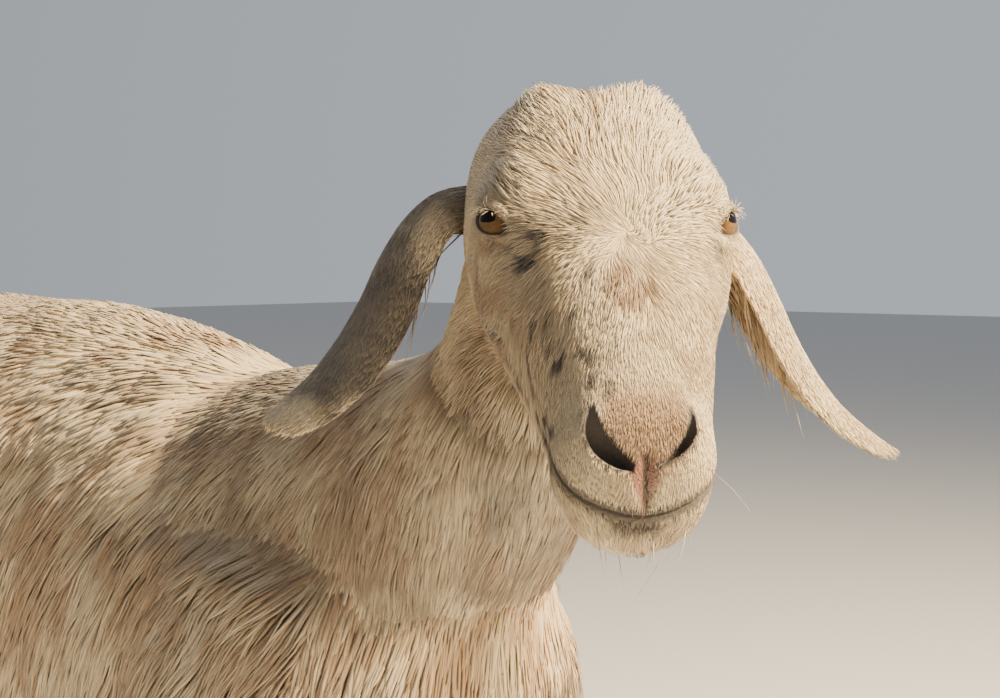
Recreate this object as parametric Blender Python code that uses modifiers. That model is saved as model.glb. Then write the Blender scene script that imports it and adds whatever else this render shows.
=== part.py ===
"""Nanny goat: a still, life-size standing doe with long hanging ears, its head turned a little to its right.

Metres, +Z up. The goat faces -Y, so its right side is -X. The origin is under the middle of its bounding box.
"""

import random
from math import cos, pi, radians, sin

import bmesh
import bpy
import numpy as np
from mathutils import Matrix, Vector
from mathutils.bvhtree import BVHTree

# Driving sizes
GAP = 0.0003  # the gap kept between touching nodes
UDDER_GAP = 0.00045  # and round the creased root of the udder
HEAD_POINT = Vector((-0.055, -0.345, 0.806))  # the origin of the head's own frame, low between the eyes
HEAD_YAW = radians(44)  # the head turns this far to the goat's right
HEAD_PITCH = radians(45)  # and its face slopes this far below level
EYE_RADIUS = 0.0145
HOOF_HEIGHT = 0.036
FLESH_VOXEL = 0.0065
HEAD_VOXEL = 0.0032
BREAST_ROUNDS = 70  # of smoothing where neck and trunk meet
HEAD_TRIANGLES, BODY_TRIANGLES, LEG_TRIANGLES = 3200, 2200, 4600  # of the whole flesh that a node is cut from

# The trunk from breast to rump: distance back, top and bottom above the ground, half width.
TRUNK = (
    (-0.257, 0.596, 0.525, 0.036),
    (-0.232, 0.630, 0.480, 0.080),
    (-0.170, 0.676, 0.445, 0.110),
    (-0.080, 0.714, 0.425, 0.129),
    (0.040, 0.752, 0.408, 0.138),
    (0.150, 0.772, 0.396, 0.155),
    (0.270, 0.776, 0.384, 0.180),
    (0.380, 0.780, 0.386, 0.184),
    (0.470, 0.780, 0.418, 0.162),
    (0.550, 0.768, 0.470, 0.136),
    (0.610, 0.742, 0.520, 0.104),
    (0.645, 0.700, 0.570, 0.060),
    (0.660, 0.665, 0.605, 0.022),
)

# The neck's centre line, x y z, its half width and half depth, and how far it has turned to the right.
NECK = (
    (0.000, -0.020, 0.590, 0.114, 0.134, 0),
    (-0.003, -0.120, 0.630, 0.103, 0.118, 4),
    (-0.010, -0.200, 0.669, 0.083, 0.088, 12),
    (-0.018, -0.259, 0.715, 0.061, 0.063, 24),
    (-0.026, -0.291, 0.767, 0.051, 0.052, 35),
    (-0.032, -0.305, 0.825, 0.048, 0.056, 42),
)

# The legs: distance out from the midline, back, up, half width, half length fore and aft.
FORELEG = (
    (0.085, -0.130, 0.630, 0.034, 0.070),
    (0.098, -0.115, 0.550, 0.044, 0.082),
    (0.102, -0.075, 0.480, 0.040, 0.072),
    (0.098, -0.035, 0.430, 0.036, 0.055),
    (0.094, -0.025, 0.385, 0.033, 0.043),
    (0.090, -0.028, 0.330, 0.027, 0.032),
    (0.088, -0.030, 0.270, 0.0215, 0.0235),
    (0.087, -0.033, 0.240, 0.0245, 0.0265),
    (0.086, -0.029, 0.205, 0.0185, 0.0195),
    (0.085, -0.024, 0.150, 0.0150, 0.0165),
    (0.085, -0.022, 0.105, 0.0155, 0.0180),
    (0.085, -0.022, 0.083, 0.0200, 0.0215),
    (0.085, -0.034, 0.055, 0.0175, 0.0180),
    (0.085, -0.042, 0.020, 0.0190, 0.0210),
)
HINDLEG = (
    (0.080, 0.530, 0.690, 0.040, 0.070),
    (0.098, 0.520, 0.620, 0.052, 0.098),
    (0.108, 0.500, 0.540, 0.050, 0.100),
    (0.110, 0.480, 0.470, 0.042, 0.078),
    (0.104, 0.505, 0.415, 0.035, 0.058),
    (0.098, 0.545, 0.355, 0.028, 0.040),
    (0.093, 0.585, 0.305, 0.0215, 0.0290),
    (0.090, 0.600, 0.275, 0.0235, 0.0310),
    (0.089, 0.592, 0.235, 0.0195, 0.0235),
    (0.088, 0.580, 0.180, 0.0155, 0.0175),
    (0.088, 0.570, 0.110, 0.0155, 0.0180),
    (0.088, 0.567, 0.085, 0.0200, 0.0215),
    (0.088, 0.553, 0.055, 0.0175, 0.0180),
    (0.088, 0.546, 0.020, 0.0190, 0.0210),
)
CLAW_LENGTH, CLAW_WIDTH, CLEFT, CLAW_AHEAD = 0.062, 0.023, 0.0024, 0.004
CLAW_LEVELS = ((0.0, 1.0, 0.0), (0.016, 0.96, 0.005), (HOOF_HEIGHT, 0.84, 0.012))  # height, size, set back
CLAW_POINT = 0.35  # how much a claw narrows to its tip
HEEL_PLACE, HEEL_SIZE = (0.014, 0.021), (0.014, 0.013, 0.013)
FORE_STEP = {-1: -0.018, 1: 0.012}  # how far each forefoot stands back of the drawn one
HIND_STEP = {-1: 0.020, 1: -0.022}

# The tail's centre line, back and up, with its half width and half depth.
TAIL = (
    (0.590, 0.745, 0.034, 0.026),
    (0.640, 0.752, 0.027, 0.019),
    (0.685, 0.748, 0.024, 0.014),
    (0.725, 0.728, 0.019, 0.010),
    (0.755, 0.700, 0.008, 0.005),
)

# The head in its own frame, in centimetres: distance forward of the eyes along the face, height of the
# face line and depth of the jaw from that line, half width, and how square the section is.
HEAD = (
    (-10.2, 1.0, -2.5, 2.6, 2.0),
    (-9.4, 2.7, -4.6, 4.5, 2.0),
    (-8.0, 4.1, -6.6, 5.7, 2.1),
    (-6.0, 5.0, -8.0, 6.4, 2.2),
    (-3.0, 5.3, -8.3, 6.7, 2.3),
    (0.0, 4.9, -8.0, 6.5, 2.4),
    (3.0, 4.4, -7.1, 5.95, 2.4),
    (6.0, 3.9, -6.1, 5.2, 2.4),
    (8.8, 3.25, -5.3, 4.35, 2.3),
    (11.2, 2.5, -4.9, 3.8, 2.3),
    (13.1, 1.5, -4.6, 3.4, 2.2),
    (14.5, 0.0, -4.0, 2.7, 2.1),
    (15.3, -1.2, -3.1, 1.4, 2.0),
)

# Swellings and hollows of the head, in centimetres in its own frame: forward, out, up, reach, height.
FEATURES = {
    "poll knob": (-7.4, 2.5, 4.3, 1.7, 0.35),
    "brow": (-0.9, 5.1, 4.0, 1.8, 0.48),
    "eye mound": (0.8, 5.9, 2.7, 1.7, 0.38),
    "tear hollow": (3.6, 4.9, 2.4, 1.4, -0.30),
    "temple": (-3.8, 6.5, 2.0, 1.6, -0.20),
    "cheekbone": (2.6, 6.0, -1.4, 2.0, 0.25),
    "cheek": (-2.5, 6.0, -5.2, 3.2, 0.35),
    "nose wing": (12.2, 2.3, 1.9, 1.0, 0.22),
    "lip pad": (13.4, 2.5, 0.1, 1.3, 0.22),
    "face hollow": (6.0, 5.0, -0.6, 2.6, -0.42),
}
MIDLINE_FEATURES = {
    "crown dip": (-8.0, 0.0, 4.1, 1.3, -0.40),
    "chin": (12.4, 0.0, -4.9, 1.8, 0.25),
    "throat": (2.0, 0.0, -7.4, 2.5, -0.35),
}
EYE = (0.3, 4.75, 2.2)  # the middle of an eyeball
EYE_AXIS = (0.36, 0.80, 0.48)  # where it looks, in the same frame
LIDS_LENGTH, LIDS_HEIGHT = 0.026, 0.0135
LIDS_TILT = radians(30)  # the slit between the lids leans this much up from the face line

# One half of the mouth, from its corner to the middle of the lips: forward, out, up.
MOUTH = (
    (9.6, 4.2, -1.3),
    (11.2, 3.9, -0.9),
    (12.6, 3.55, -0.6),
    (13.7, 3.0, -0.5),
    (14.5, 2.1, -0.6),
    (14.95, 1.1, -0.75),
    (15.1, 0.0, -0.85),
)
# A nostril from its upper, outer end to its lower, inner one: forward, out, up, and how wide it is.
NOSTRIL = (
    (11.3, 2.20, 2.15, 0.18),
    (11.9, 2.18, 1.92, 0.30),
    (12.5, 2.02, 1.58, 0.46),
    (13.0, 1.55, 1.16, 0.52),
    (13.4, 0.94, 0.90, 0.42),
    (13.7, 0.45, 0.80, 0.18),
)

NOSTRIL_FLARE = {-1: 1.0, 1: 0.55}  # the right one stands wide open, the left one is nearly shut

# The back of each ear from its root, as distances out, forward and up of the head's origin, in centimetres,
# then its width round the curl, how far round the curl goes, and how far its mouth turns in from the front.
EARS = {
    -1: (
        (4.2, -5.6, 3.3, 5.6, 250, 60),
        (6.2, -5.5, 3.5, 6.0, 235, 75),
        (8.0, -5.3, 3.1, 6.4, 205, 88),
        (9.5, -4.9, 1.8, 6.6, 175, 98),
        (10.7, -4.4, -0.2, 6.5, 155, 108),
        (11.7, -3.8, -2.6, 6.2, 140, 116),
        (12.8, -3.1, -4.7, 5.6, 125, 122),
        (14.1, -2.4, -6.5, 4.6, 110, 126),
        (15.4, -1.9, -7.7, 3.4, 95, 130),
        (16.1, -1.7, -8.2, 2.2, 85, 130),
        (16.4, -1.6, -8.4, 0.8, 80, 130),
    ),
    1: (
        (4.2, -5.6, 2.8, 5.6, 250, 60),
        (6.0, -5.5, 2.6, 6.0, 235, 70),
        (7.7, -5.3, 1.7, 6.4, 205, 80),
        (9.2, -4.9, 0.0, 6.6, 175, 88),
        (10.3, -4.4, -2.2, 6.5, 155, 92),
        (11.2, -3.8, -4.4, 6.2, 145, 95),
        (12.2, -3.1, -6.4, 5.4, 135, 98),
        (13.4, -2.4, -8.1, 4.4, 120, 102),
        (14.8, -1.9, -9.4, 3.2, 100, 105),
        (15.6, -1.7, -10.0, 2.0, 90, 105),
        (15.9, -1.6, -10.2, 0.8, 80, 105),
    ),
}
EAR_THICKNESS = 0.0042

# The udder, from inside the belly down: height, half width, half length, and how far back it is.
UDDER = (
    (0.470, 0.050, 0.060, 0.470),
    (0.440, 0.060, 0.072, 0.470),
    (0.405, 0.062, 0.070, 0.468),
    (0.375, 0.055, 0.058, 0.464),
    (0.352, 0.040, 0.042, 0.460),
    (0.342, 0.020, 0.022, 0.458),
)
TEAT = ((0.372, 0.018), (0.355, 0.014), (0.335, 0.0095), (0.312, 0.0085), (0.302, 0.0050))  # height, radius
TEAT_OUT, TEAT_BACK, TEAT_SPLAY, TEAT_LEAN = 0.027, 0.450, 0.35, 0.3

BREAST = (Vector((-0.005, -0.235, 0.610)), 0.13)  # the fold between neck and trunk, and its reach

# Where the body is parted: a point on each cut and the direction of what is parted from the trunk.
NECK_CUT = (Vector((0, -0.152, 0.667)), Vector((0, -0.60, 0.80)))
THROAT_CUT_BACK, THROAT_CUT_DOWN = 0.073, 0.060
THROAT_CUT_SLOPE = radians(54)
FORELEG_CUT, HINDLEG_CUT = 0.405, 0.418
FORELEG_BACKS, HINDLEG_BACKS = (-0.140, 0.050), (0.425, 0.720)
LEG_CUT_INSIDE = 0.030
TAIL_CUT = 0.654
DOCK_LOW, DOCK_SIZE = 0.690, (0.12, 0.20, 0.12)  # the box round the tail behind its cut

# A lock of the coat along its length: share of the way, breadth, thickness, height as a share of its lift.
LOCK_SHAPE = (
    (-0.10, 0.60, 1.0, -1.0),
    (0.30, 1.00, 1.0, 0.35),
    (0.68, 0.75, 0.8, 0.75),
)
LOCK_SINK, LOCK_THICKNESS, LOCK_MARGIN, LOCK_ROOT = 0.009, 0.008, 0.005, 0.012
LOCK_SOLVER = "MANIFOLD"
TORSO_LOCKS = {"spacing": 0.062, "length": 0.100, "width": 0.055, "lift": 0.019}
NECK_LOCKS = {"spacing": 0.040, "length": 0.075, "width": 0.042, "lift": 0.016}
BREAST_BACK, RUMP_BACK = -0.16, 0.60  # the coat hangs straighter down ahead of the one and behind the other
LOCK_FLOOR = 0.37  # no lock of the belly hangs lower
COAT_TRIES = 6000
SEED = 5

SIDES = {"right": -1, "left": 1}

COLOURS = {
    "coat": ((0.78, 0.66, 0.52), 0.85),
    "eye": ((0.42, 0.25, 0.10), 0.15),
    "hoof": ((0.23, 0.18, 0.13), 0.5),
    "udder_skin": ((0.78, 0.55, 0.46), 0.65),
}


def material(name):
    """The plain material of one slot."""
    colour, roughness = COLOURS[name]
    made = bpy.data.materials.new(name)
    made.use_nodes = True
    shader = made.node_tree.nodes["Principled BSDF"]
    shader.inputs["Base Color"].default_value = (*colour, 1)
    shader.inputs["Roughness"].default_value = roughness
    shader.inputs["Metallic"].default_value = 0
    return made


def smooth_rows(rows, per_row):
    """Rows of numbers with more between them, on a curve through all of them."""
    rows = np.array(rows, float)
    ends = np.vstack((2 * rows[0] - rows[1], rows, 2 * rows[-1] - rows[-2]))
    out = []
    for i in range(1, len(ends) - 2):
        a, b, c, d = ends[i - 1 : i + 3]
        for k in range(per_row):
            t = k / per_row
            bend = (2 * a - 5 * b + 4 * c - d) * t**2 + (3 * b - a - 3 * c + d) * t**3
            out.append(0.5 * (2 * b + (c - a) * t + bend))
    return np.array(out + [rows[-1]])


def rounded(angle, power):
    """The cosine and sine of an angle on a superellipse of that power."""
    c, s = cos(angle), sin(angle)
    return np.sign(c) * abs(c) ** (2 / power), np.sign(s) * abs(s) ** (2 / power)


def loft(name, rings, tip=None):
    """A mesh object through rings of points of one count, closed by fans; the last may come to a tip."""
    mesh = bmesh.new()
    rows = [[mesh.verts.new(p) for p in ring] for ring in rings]
    count = len(rows[0])
    for low, high in zip(rows, rows[1:]):
        for k in range(count):
            n = (k + 1) % count
            mesh.faces.new((low[k], low[n], high[n], high[k]))
    for row, end in ((rows[0], None), (rows[-1], tip)):
        middle = mesh.verts.new(end or sum((v.co for v in row), Vector()) / count)
        for k in range(count):
            mesh.faces.new((row[k], row[(k + 1) % count], middle))
    bmesh.ops.recalc_face_normals(mesh, faces=mesh.faces)
    return mesh_object(name, mesh)


def mesh_object(name, mesh):
    """An object that holds a bmesh, which is then freed."""
    data = bpy.data.meshes.new(name)
    mesh.to_mesh(data)
    mesh.free()
    made = bpy.data.objects.new(name, data)
    bpy.context.scene.collection.objects.link(made)
    return made


def tube_rings(rows, across, count=28, power=2.2):
    """Rings square to a path. Each row is x y z, half width, half depth; across gives the side direction."""
    path = np.array([row[:3] for row in rows])
    tangents = np.gradient(path, axis=0)
    rings = []
    for i, (row, tangent) in enumerate(zip(rows, tangents)):
        along = Vector(tangent).normalized()
        side = across(i)
        side = (side - along * side.dot(along)).normalized()
        up = along.cross(side)
        ring = []
        for k in range(count):
            c, s = rounded(2 * pi * k / count, power)
            ring.append(Vector(row[:3]) + side * (c * row[3]) + up * (s * row[4]))
        rings.append(ring)
    return rings


def trunk():
    """The trunk, egg-shaped in section, widest a little below its middle."""
    rings = []
    for y, top, bottom, half in smooth_rows(TRUNK, 4):
        middle = bottom + 0.46 * (top - bottom)
        ring = []
        for k in range(40):
            c, s = rounded(2 * pi * k / 40, 2.15)
            height = (top - middle) if s > 0 else (middle - bottom)
            pinch = 1 - 0.16 * max(s, 0) ** 2
            ring.append(Vector((half * c * pinch, y, middle + height * s)))
        rings.append(ring)
    return loft("trunk", rings)


def neck():
    """The neck, which rises from the trunk and turns to the right."""
    rows = smooth_rows(NECK, 4)
    turn = [radians(row[5]) for row in rows]
    rings = tube_rings([row[:5] for row in rows], lambda i: Vector((cos(turn[i]), -sin(turn[i]), 0)))
    return loft("neck_flesh", rings)


def leg(rows, side, step):
    """One leg, from inside the trunk down into its hoof; the foot is moved back by step."""
    moved = []
    top, bottom = rows[0][2], rows[-1][2]
    for out, back, up, half, deep in smooth_rows(rows, 3):
        share = min(1, max(0, (0.48 - up) / (0.48 - bottom)))
        moved.append((side * out, back + step * share, up, half, deep))
    rings = tube_rings(moved, lambda i: Vector((1, 0, 0)), 22, 2.1)
    return loft("leg_flesh", rings)


def foot_spot(rows, side, step):
    """Where the leg's last ring stands over the ground."""
    return Vector((side * rows[-1][0], rows[-1][1] + step, 0))


def head_matrix():
    """From the head's own frame, in metres (forward along the face, left, up from it), to the world."""
    forward = Vector((-sin(HEAD_YAW), -cos(HEAD_YAW), 0))
    left = Vector((cos(HEAD_YAW), -sin(HEAD_YAW), 0))
    up = Vector((0, 0, 1))
    nose = forward * cos(HEAD_PITCH) - up * sin(HEAD_PITCH)
    crown = forward * sin(HEAD_PITCH) + up * cos(HEAD_PITCH)
    made = Matrix((nose, left, crown)).transposed().to_4x4()
    made.translation = HEAD_POINT
    return made


def head():
    """The skull with its jaw and muzzle, before its features."""
    rings = []
    for forward, top, bottom, half, power in smooth_rows(HEAD, 5):
        middle = bottom + 0.56 * (top - bottom)
        ring = []
        for k in range(48):
            c, s = rounded(2 * pi * k / 48, power)
            height = (top - middle) if s > 0 else (middle - bottom)
            narrow = 1 - 0.22 * max(-s, 0) ** 2 * min(1, max(0, (8 - forward) / 8))
            ring.append(Vector((forward, half * c * narrow, middle + height * s)) * 0.01)
        rings.append(ring)
    made = loft("head_flesh", rings)
    made.data.transform(head_matrix())
    return made


def tail():
    """The short tail, flat underneath."""
    rows = [(0, back, up, half, deep) for back, up, half, deep in smooth_rows(TAIL, 3)]
    return loft("tail_flesh", tube_rings(rows, lambda i: Vector((1, 0, 0)), 16, 2))


def ear(side):
    """One ear: a long leaf, curled lengthwise, that hangs out and down. Its mouth faces forward and in."""
    forward = Vector((-sin(HEAD_YAW), -cos(HEAD_YAW), 0))
    out = Vector((cos(HEAD_YAW), -sin(HEAD_YAW), 0)) * side
    rows = smooth_rows(EARS[side], 2)
    spine = [HEAD_POINT + (out * row[0] + forward * row[1] + Vector((0, 0, row[2]))) * 0.01 for row in rows]
    tangents = np.gradient(np.array(spine), axis=0)
    rings = []
    for row, point, tangent in zip(rows, spine, tangents):
        along = Vector(tangent).normalized()
        ahead = (forward - along * forward.dot(along)).normalized()
        inner = along.cross(ahead) * side
        turn = radians(row[5])
        mouth = ahead * cos(turn) + inner * sin(turn)
        across = along.cross(mouth)
        curl = radians(row[4])
        radius = row[3] * 0.01 / curl
        middle = point + mouth * radius
        ring = []
        steps = 8
        for k in range(steps + 1):
            angle = curl * (k / steps - 0.5)
            ring.append(middle + (across * sin(angle) - mouth * cos(angle)) * radius)
        for k in reversed(range(steps + 1)):
            angle = curl * (k / steps - 0.5)
            thin = EAR_THICKNESS * (1 - 0.45 * abs(2 * k / steps - 1) ** 2)
            ring.append(middle + (across * sin(angle) - mouth * cos(angle)) * (radius - thin))
        rings.append(ring)
    return loft("ear_" + ("right" if side < 0 else "left"), rings)


def joined(name, pieces):
    """The pieces' meshes as one mesh object; the pieces are removed."""
    mesh = bmesh.new()
    for piece in pieces:
        mesh.from_mesh(piece.data)
        bpy.data.objects.remove(piece)
    return mesh_object(name, mesh)


def applied(obj):
    """The object with its modifiers' result as its own mesh."""
    graph = bpy.context.evaluated_depsgraph_get()
    data = bpy.data.meshes.new_from_object(obj.evaluated_get(graph))
    obj.modifiers.clear()
    obj.data = data
    return obj


def fused(obj, voxel, rounds):
    """The object's overlapping pieces as one smooth skin."""
    remesh = obj.modifiers.new("fuse", "REMESH")
    remesh.mode = "VOXEL"
    remesh.voxel_size = voxel
    smooth = obj.modifiers.new("soften", "SMOOTH")
    smooth.factor = 0.5
    smooth.iterations = rounds
    return applied(obj)


def softened(obj, rounds):
    """The object smoothed further round the breast, where the fold between neck and trunk fills out."""
    place, reach = BREAST
    group = obj.vertex_groups.new(name="soft")
    for vert in obj.data.vertices:
        weight = 1 - (vert.co - place).length / reach
        if weight > 0:
            group.add((vert.index,), min(1, 2 * weight), "REPLACE")
    smooth = obj.modifiers.new("soften", "SMOOTH")
    smooth.factor = 0.5
    smooth.iterations = rounds
    smooth.vertex_group = group.name
    applied(obj)
    obj.vertex_groups.clear()
    return obj


def copy_of(obj, name):
    """A copy of an object with a mesh of its own."""
    made = obj.copy()
    made.data = obj.data.copy()
    made.name = name
    bpy.context.scene.collection.objects.link(made)
    return made


def swell(obj, frame, features, unit=0.01):
    """Moves the surface out or in along its normals, round the places named in a frame."""
    inverse = np.array(frame.inverted())
    count = len(obj.data.vertices)
    points = np.empty(count * 3)
    normals = np.empty(count * 3)
    obj.data.vertices.foreach_get("co", points)
    obj.data.vertex_normals.foreach_get("vector", normals)
    points, normals = points.reshape(-1, 3), normals.reshape(-1, 3)
    local = (points @ inverse[:3, :3].T + inverse[:3, 3]) / unit
    move = np.zeros(count)
    for x, y, z, reach, height in features:
        apart = np.linalg.norm(local - (x, y, z), axis=1)
        move += height * np.exp(-((apart / reach) ** 2))
    obj.data.vertices.foreach_set("co", (points + normals * move[:, None] * unit).ravel())
    obj.data.update()


def head_features():
    """Every swelling of the head, those off the midline on both sides."""
    rows = list(MIDLINE_FEATURES.values())
    for x, y, z, reach, height in FEATURES.values():
        rows += [(x, y, z, reach, height), (x, -y, z, reach, height)]
    return rows


def reduced(obj, triangles):
    """The object with its surface in about so many triangles."""
    obj.data.calc_loop_triangles()
    decimate = obj.modifiers.new("reduce", "DECIMATE")
    decimate.ratio = triangles / len(obj.data.loop_triangles)
    decimate.use_collapse_triangulate = True
    return applied(obj)


def block(name, corner, size):
    """A box cutter from one corner."""
    mesh = bmesh.new()
    bmesh.ops.create_cube(mesh, size=1)
    made = mesh_object(name, mesh)
    made.data.transform(Matrix.Translation(Vector(corner) + Vector(size) / 2) @ Matrix.Diagonal((*size, 1)))
    return made


def half_space(name, point, direction, reach=1.2):
    """A big box cutter whose one face passes through a point; it fills the side that direction points to."""
    mesh = bmesh.new()
    bmesh.ops.create_cube(mesh, size=2 * reach)
    made = mesh_object(name, mesh)
    turn = direction.to_track_quat("Z", "Y").to_matrix().to_4x4()
    made.data.transform(Matrix.Translation(point + direction.normalized() * reach) @ turn)
    return made


def cut(obj, cutter, operation="DIFFERENCE"):
    """A Boolean of the object with a cutter, applied."""
    boolean = obj.modifiers.new("cut", "BOOLEAN")
    boolean.operation = operation
    boolean.solver = "EXACT"
    boolean.object = cutter
    applied(obj)
    bpy.data.objects.remove(cutter)
    return largest(obj)


def largest(obj):
    """The object with only its largest closed surface kept."""
    mesh = bmesh.new()
    mesh.from_mesh(obj.data)
    unseen, shells = set(mesh.faces), []
    while unseen:
        shell, front = set(), [unseen.pop()]
        while front:
            face = front.pop()
            shell.add(face)
            for edge in face.edges:
                if len(edge.link_faces) != 2:
                    continue
                for other in edge.link_faces:
                    if other in unseen:
                        unseen.remove(other)
                        front.append(other)
        shells.append(shell)
    keep = max(shells, key=lambda shell: sum(face.calc_area() for face in shell))
    bmesh.ops.delete(mesh, geom=[face for face in mesh.faces if face not in keep], context="FACES")
    mesh.to_mesh(obj.data)
    mesh.free()
    return obj


def grown(obj, name, distance):
    """A copy of the object whose surface stands out by a distance, to cut its neighbour clear of it."""
    made = copy_of(obj, name)
    move = made.modifiers.new("grow", "DISPLACE")
    move.mid_level = 0
    move.strength = distance
    return applied(made)


def throat_plane():
    """A point on the cut behind the jaw, and the direction of the head from it."""
    forward = Vector((-sin(HEAD_YAW), -cos(HEAD_YAW), 0))
    point = HEAD_POINT - forward * THROAT_CUT_BACK - Vector((0, 0, THROAT_CUT_DOWN))
    return point, forward * cos(THROAT_CUT_SLOPE) + Vector((0, 0, sin(THROAT_CUT_SLOPE)))


def eye_matrix(side):
    """From an eye's own frame (its axis along +Z, +X towards the nose) to the world."""
    head_frame = head_matrix()
    axis = Vector((EYE_AXIS[0], EYE_AXIS[1] * side, EYE_AXIS[2])).normalized()
    nose = Vector((cos(LIDS_TILT), 0, sin(LIDS_TILT)))
    nose = (nose - axis * nose.dot(axis)).normalized()
    turn = Matrix((nose, axis.cross(nose), axis)).transposed().to_4x4()
    turn.translation = Vector((EYE[0], EYE[1] * side, EYE[2])) * 0.01
    return head_frame @ turn


def ball(name, radius, matrix, rings=8):
    """A sphere in place."""
    mesh = bmesh.new()
    bmesh.ops.create_uvsphere(mesh, u_segments=2 * rings, v_segments=rings, radius=radius)
    made = mesh_object(name, mesh)
    made.data.transform(matrix)
    return made


def lid_opening(side):
    """An almond-shaped cutter from inside an eyeball out through the lids."""
    rings = []
    for height in (0.0065, 0.030):
        ring = []
        for k in range(20):
            angle = 2 * pi * k / 20
            c, s = cos(angle), sin(angle)
            ring.append(Vector((LIDS_LENGTH / 2 * c, LIDS_HEIGHT / 2 * s * abs(s) ** 0.35, height)))
        rings.append(ring)
    made = loft("lid_opening", rings)
    made.data.transform(eye_matrix(side))
    return made


def mouth_slit():
    """A thin curved wedge that cuts the line of the mouth between the lips."""
    half = smooth_rows(MOUTH, 3)
    path = [Vector(p) for p in half] + [Vector((p[0], -p[1], p[2])) for p in reversed(half[:-1])]
    tangents = np.gradient(np.array(path), axis=0)
    rings = []
    for point, tangent in zip(path, tangents):
        outward = Vector((-tangent[1], tangent[0], 0)).normalized()
        if outward.dot(point - Vector((10, 0, 0))) < 0:
            outward = -outward
        up = Vector((0, 0, 1))
        corners = ((0.5, 0.13), (0.5, -0.13), (-0.35, -0.03), (-0.35, 0.03))
        rings.append([(point + outward * a + up * b) * 0.01 for a, b in corners])
    made = loft("mouth_slit", rings)
    made.data.transform(head_matrix())
    return made


def nostril(side):
    """A comma-shaped cutter, thin at its upper, outer end."""
    rows = smooth_rows(NOSTRIL, 3)
    rows[:, 1] *= side
    rows[:, 3] *= NOSTRIL_FLARE[side]
    rows *= 0.01
    rows = np.column_stack((rows, rows[:, 3]))
    made = loft("nostril", tube_rings(rows, lambda i: Vector((0, 0, 1)), 10, 2))
    made.data.transform(head_matrix())
    return made


def claw(spot, outward):
    """One claw of a hoof: a pointed, sloping box on a flat sole."""
    rings = []
    for height, scale, back in CLAW_LEVELS:
        ring = []
        for k in range(10):
            c, s = rounded(2 * pi * k / 10, 2.6)
            narrow = 1 - CLAW_POINT * max(0, -c) ** 2
            x = spot.x + outward * (CLAW_WIDTH + CLEFT) / 2 + s * CLAW_WIDTH / 2 * scale * narrow
            y = spot.y - CLAW_AHEAD + c * CLAW_LENGTH / 2 * scale + back
            ring.append(Vector((x, y, height)))
        rings.append(ring)
    return loft("claw", rings)


def hoof(name, rows, side, step):
    """A cloven hoof: two claws that part at the front and join at the heel, cut level on top."""
    spot = foot_spot(rows, side, step)
    pieces = [claw(spot, -1), claw(spot, 1)]
    back, up = HEEL_PLACE
    heel = Matrix.Translation((spot.x, spot.y + back, up)) @ Matrix.Diagonal((*HEEL_SIZE, 1))
    pieces.append(ball("heel", 1, heel, 6))
    made = union(name, pieces)
    level = half_space("level", Vector((0, 0, HOOF_HEIGHT)), Vector((0, 0, 1)))
    return cut(made, level)


def union(name, pieces):
    """One closed body from overlapping closed pieces."""
    made = pieces[0]
    made.name = name
    for piece in pieces[1:]:
        boolean = made.modifiers.new("join", "BOOLEAN")
        boolean.operation = "UNION"
        boolean.solver = "EXACT"
        boolean.object = piece
        applied(made)
        bpy.data.objects.remove(piece)
    return largest(made)


def udder():
    """The udder with its two teats."""
    rows = [(0, back, up, half, long) for up, half, long, back in UDDER]
    pieces = [loft("udder", tube_rings(rows, lambda i: Vector((1, 0, 0)), 16, 2.1))]
    for side in SIDES.values():
        rows = []
        for up, radius in TEAT:
            fall = TEAT[0][0] - up
            rows.append((side * (TEAT_OUT + TEAT_SPLAY * fall), TEAT_BACK - TEAT_LEAN * fall, up, radius, radius))
        pieces.append(loft("teat", tube_rings(rows, lambda i: Vector((1, 0, 0)), 8, 2)))
    return union("udder", pieces)


def body_pieces():
    """The lofts that the flesh is fused from."""
    pieces = [trunk(), neck(), head(), tail()]
    for side in SIDES.values():
        pieces.append(leg(FORELEG, side, FORE_STEP[side]))
        pieces.append(leg(HINDLEG, side, HIND_STEP[side]))
    return pieces


def region(flesh, name, cutters, triangles):
    """A node cut from a copy of the flesh: what lies inside every cutter."""
    made = reduced(copy_of(flesh, name), triangles)
    for cutter in cutters:
        cut(made, cutter, "INTERSECT")
    return made


def head_node(flesh):
    """The head with its lids, nostrils and the line of the mouth."""
    point, direction = throat_plane()
    ahead = half_space("throat", point + direction * GAP / 2, direction)
    made = region(flesh, "head", [ahead], HEAD_TRIANGLES)
    for side in SIDES.values():
        cut(made, ball("socket", EYE_RADIUS + 2 * GAP, eye_matrix(side)))
        cut(made, lid_opening(side))
        cut(made, nostril(side))
    return cut(made, mouth_slit())


def leg_block(backs, side, top, grow=0.0):
    """The box that parts a leg from the trunk, between the hoof and a level cut."""
    low = HOOF_HEIGHT + GAP
    inside = LEG_CUT_INSIDE - grow
    corner = (inside if side > 0 else -inside - 0.2, backs[0] - grow, low - grow)
    return block("leg_block", corner, (0.2, backs[1] - backs[0] + 2 * grow, top - low + 2 * grow))


def lie_of_coat(point, normal):
    """Which way the coat lies at a point: back along the top, back and down the sides, down the breast."""
    back, down = 1.0, 0.25 + 0.75 * min(1, abs(point.x) / 0.10)
    if point.y < BREAST_BACK or point.y > RUMP_BACK:
        back, down = 0.45, 1.0
    flow = Vector((0, back, -down))
    return (flow - normal * flow.dot(normal)).normalized()


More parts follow.
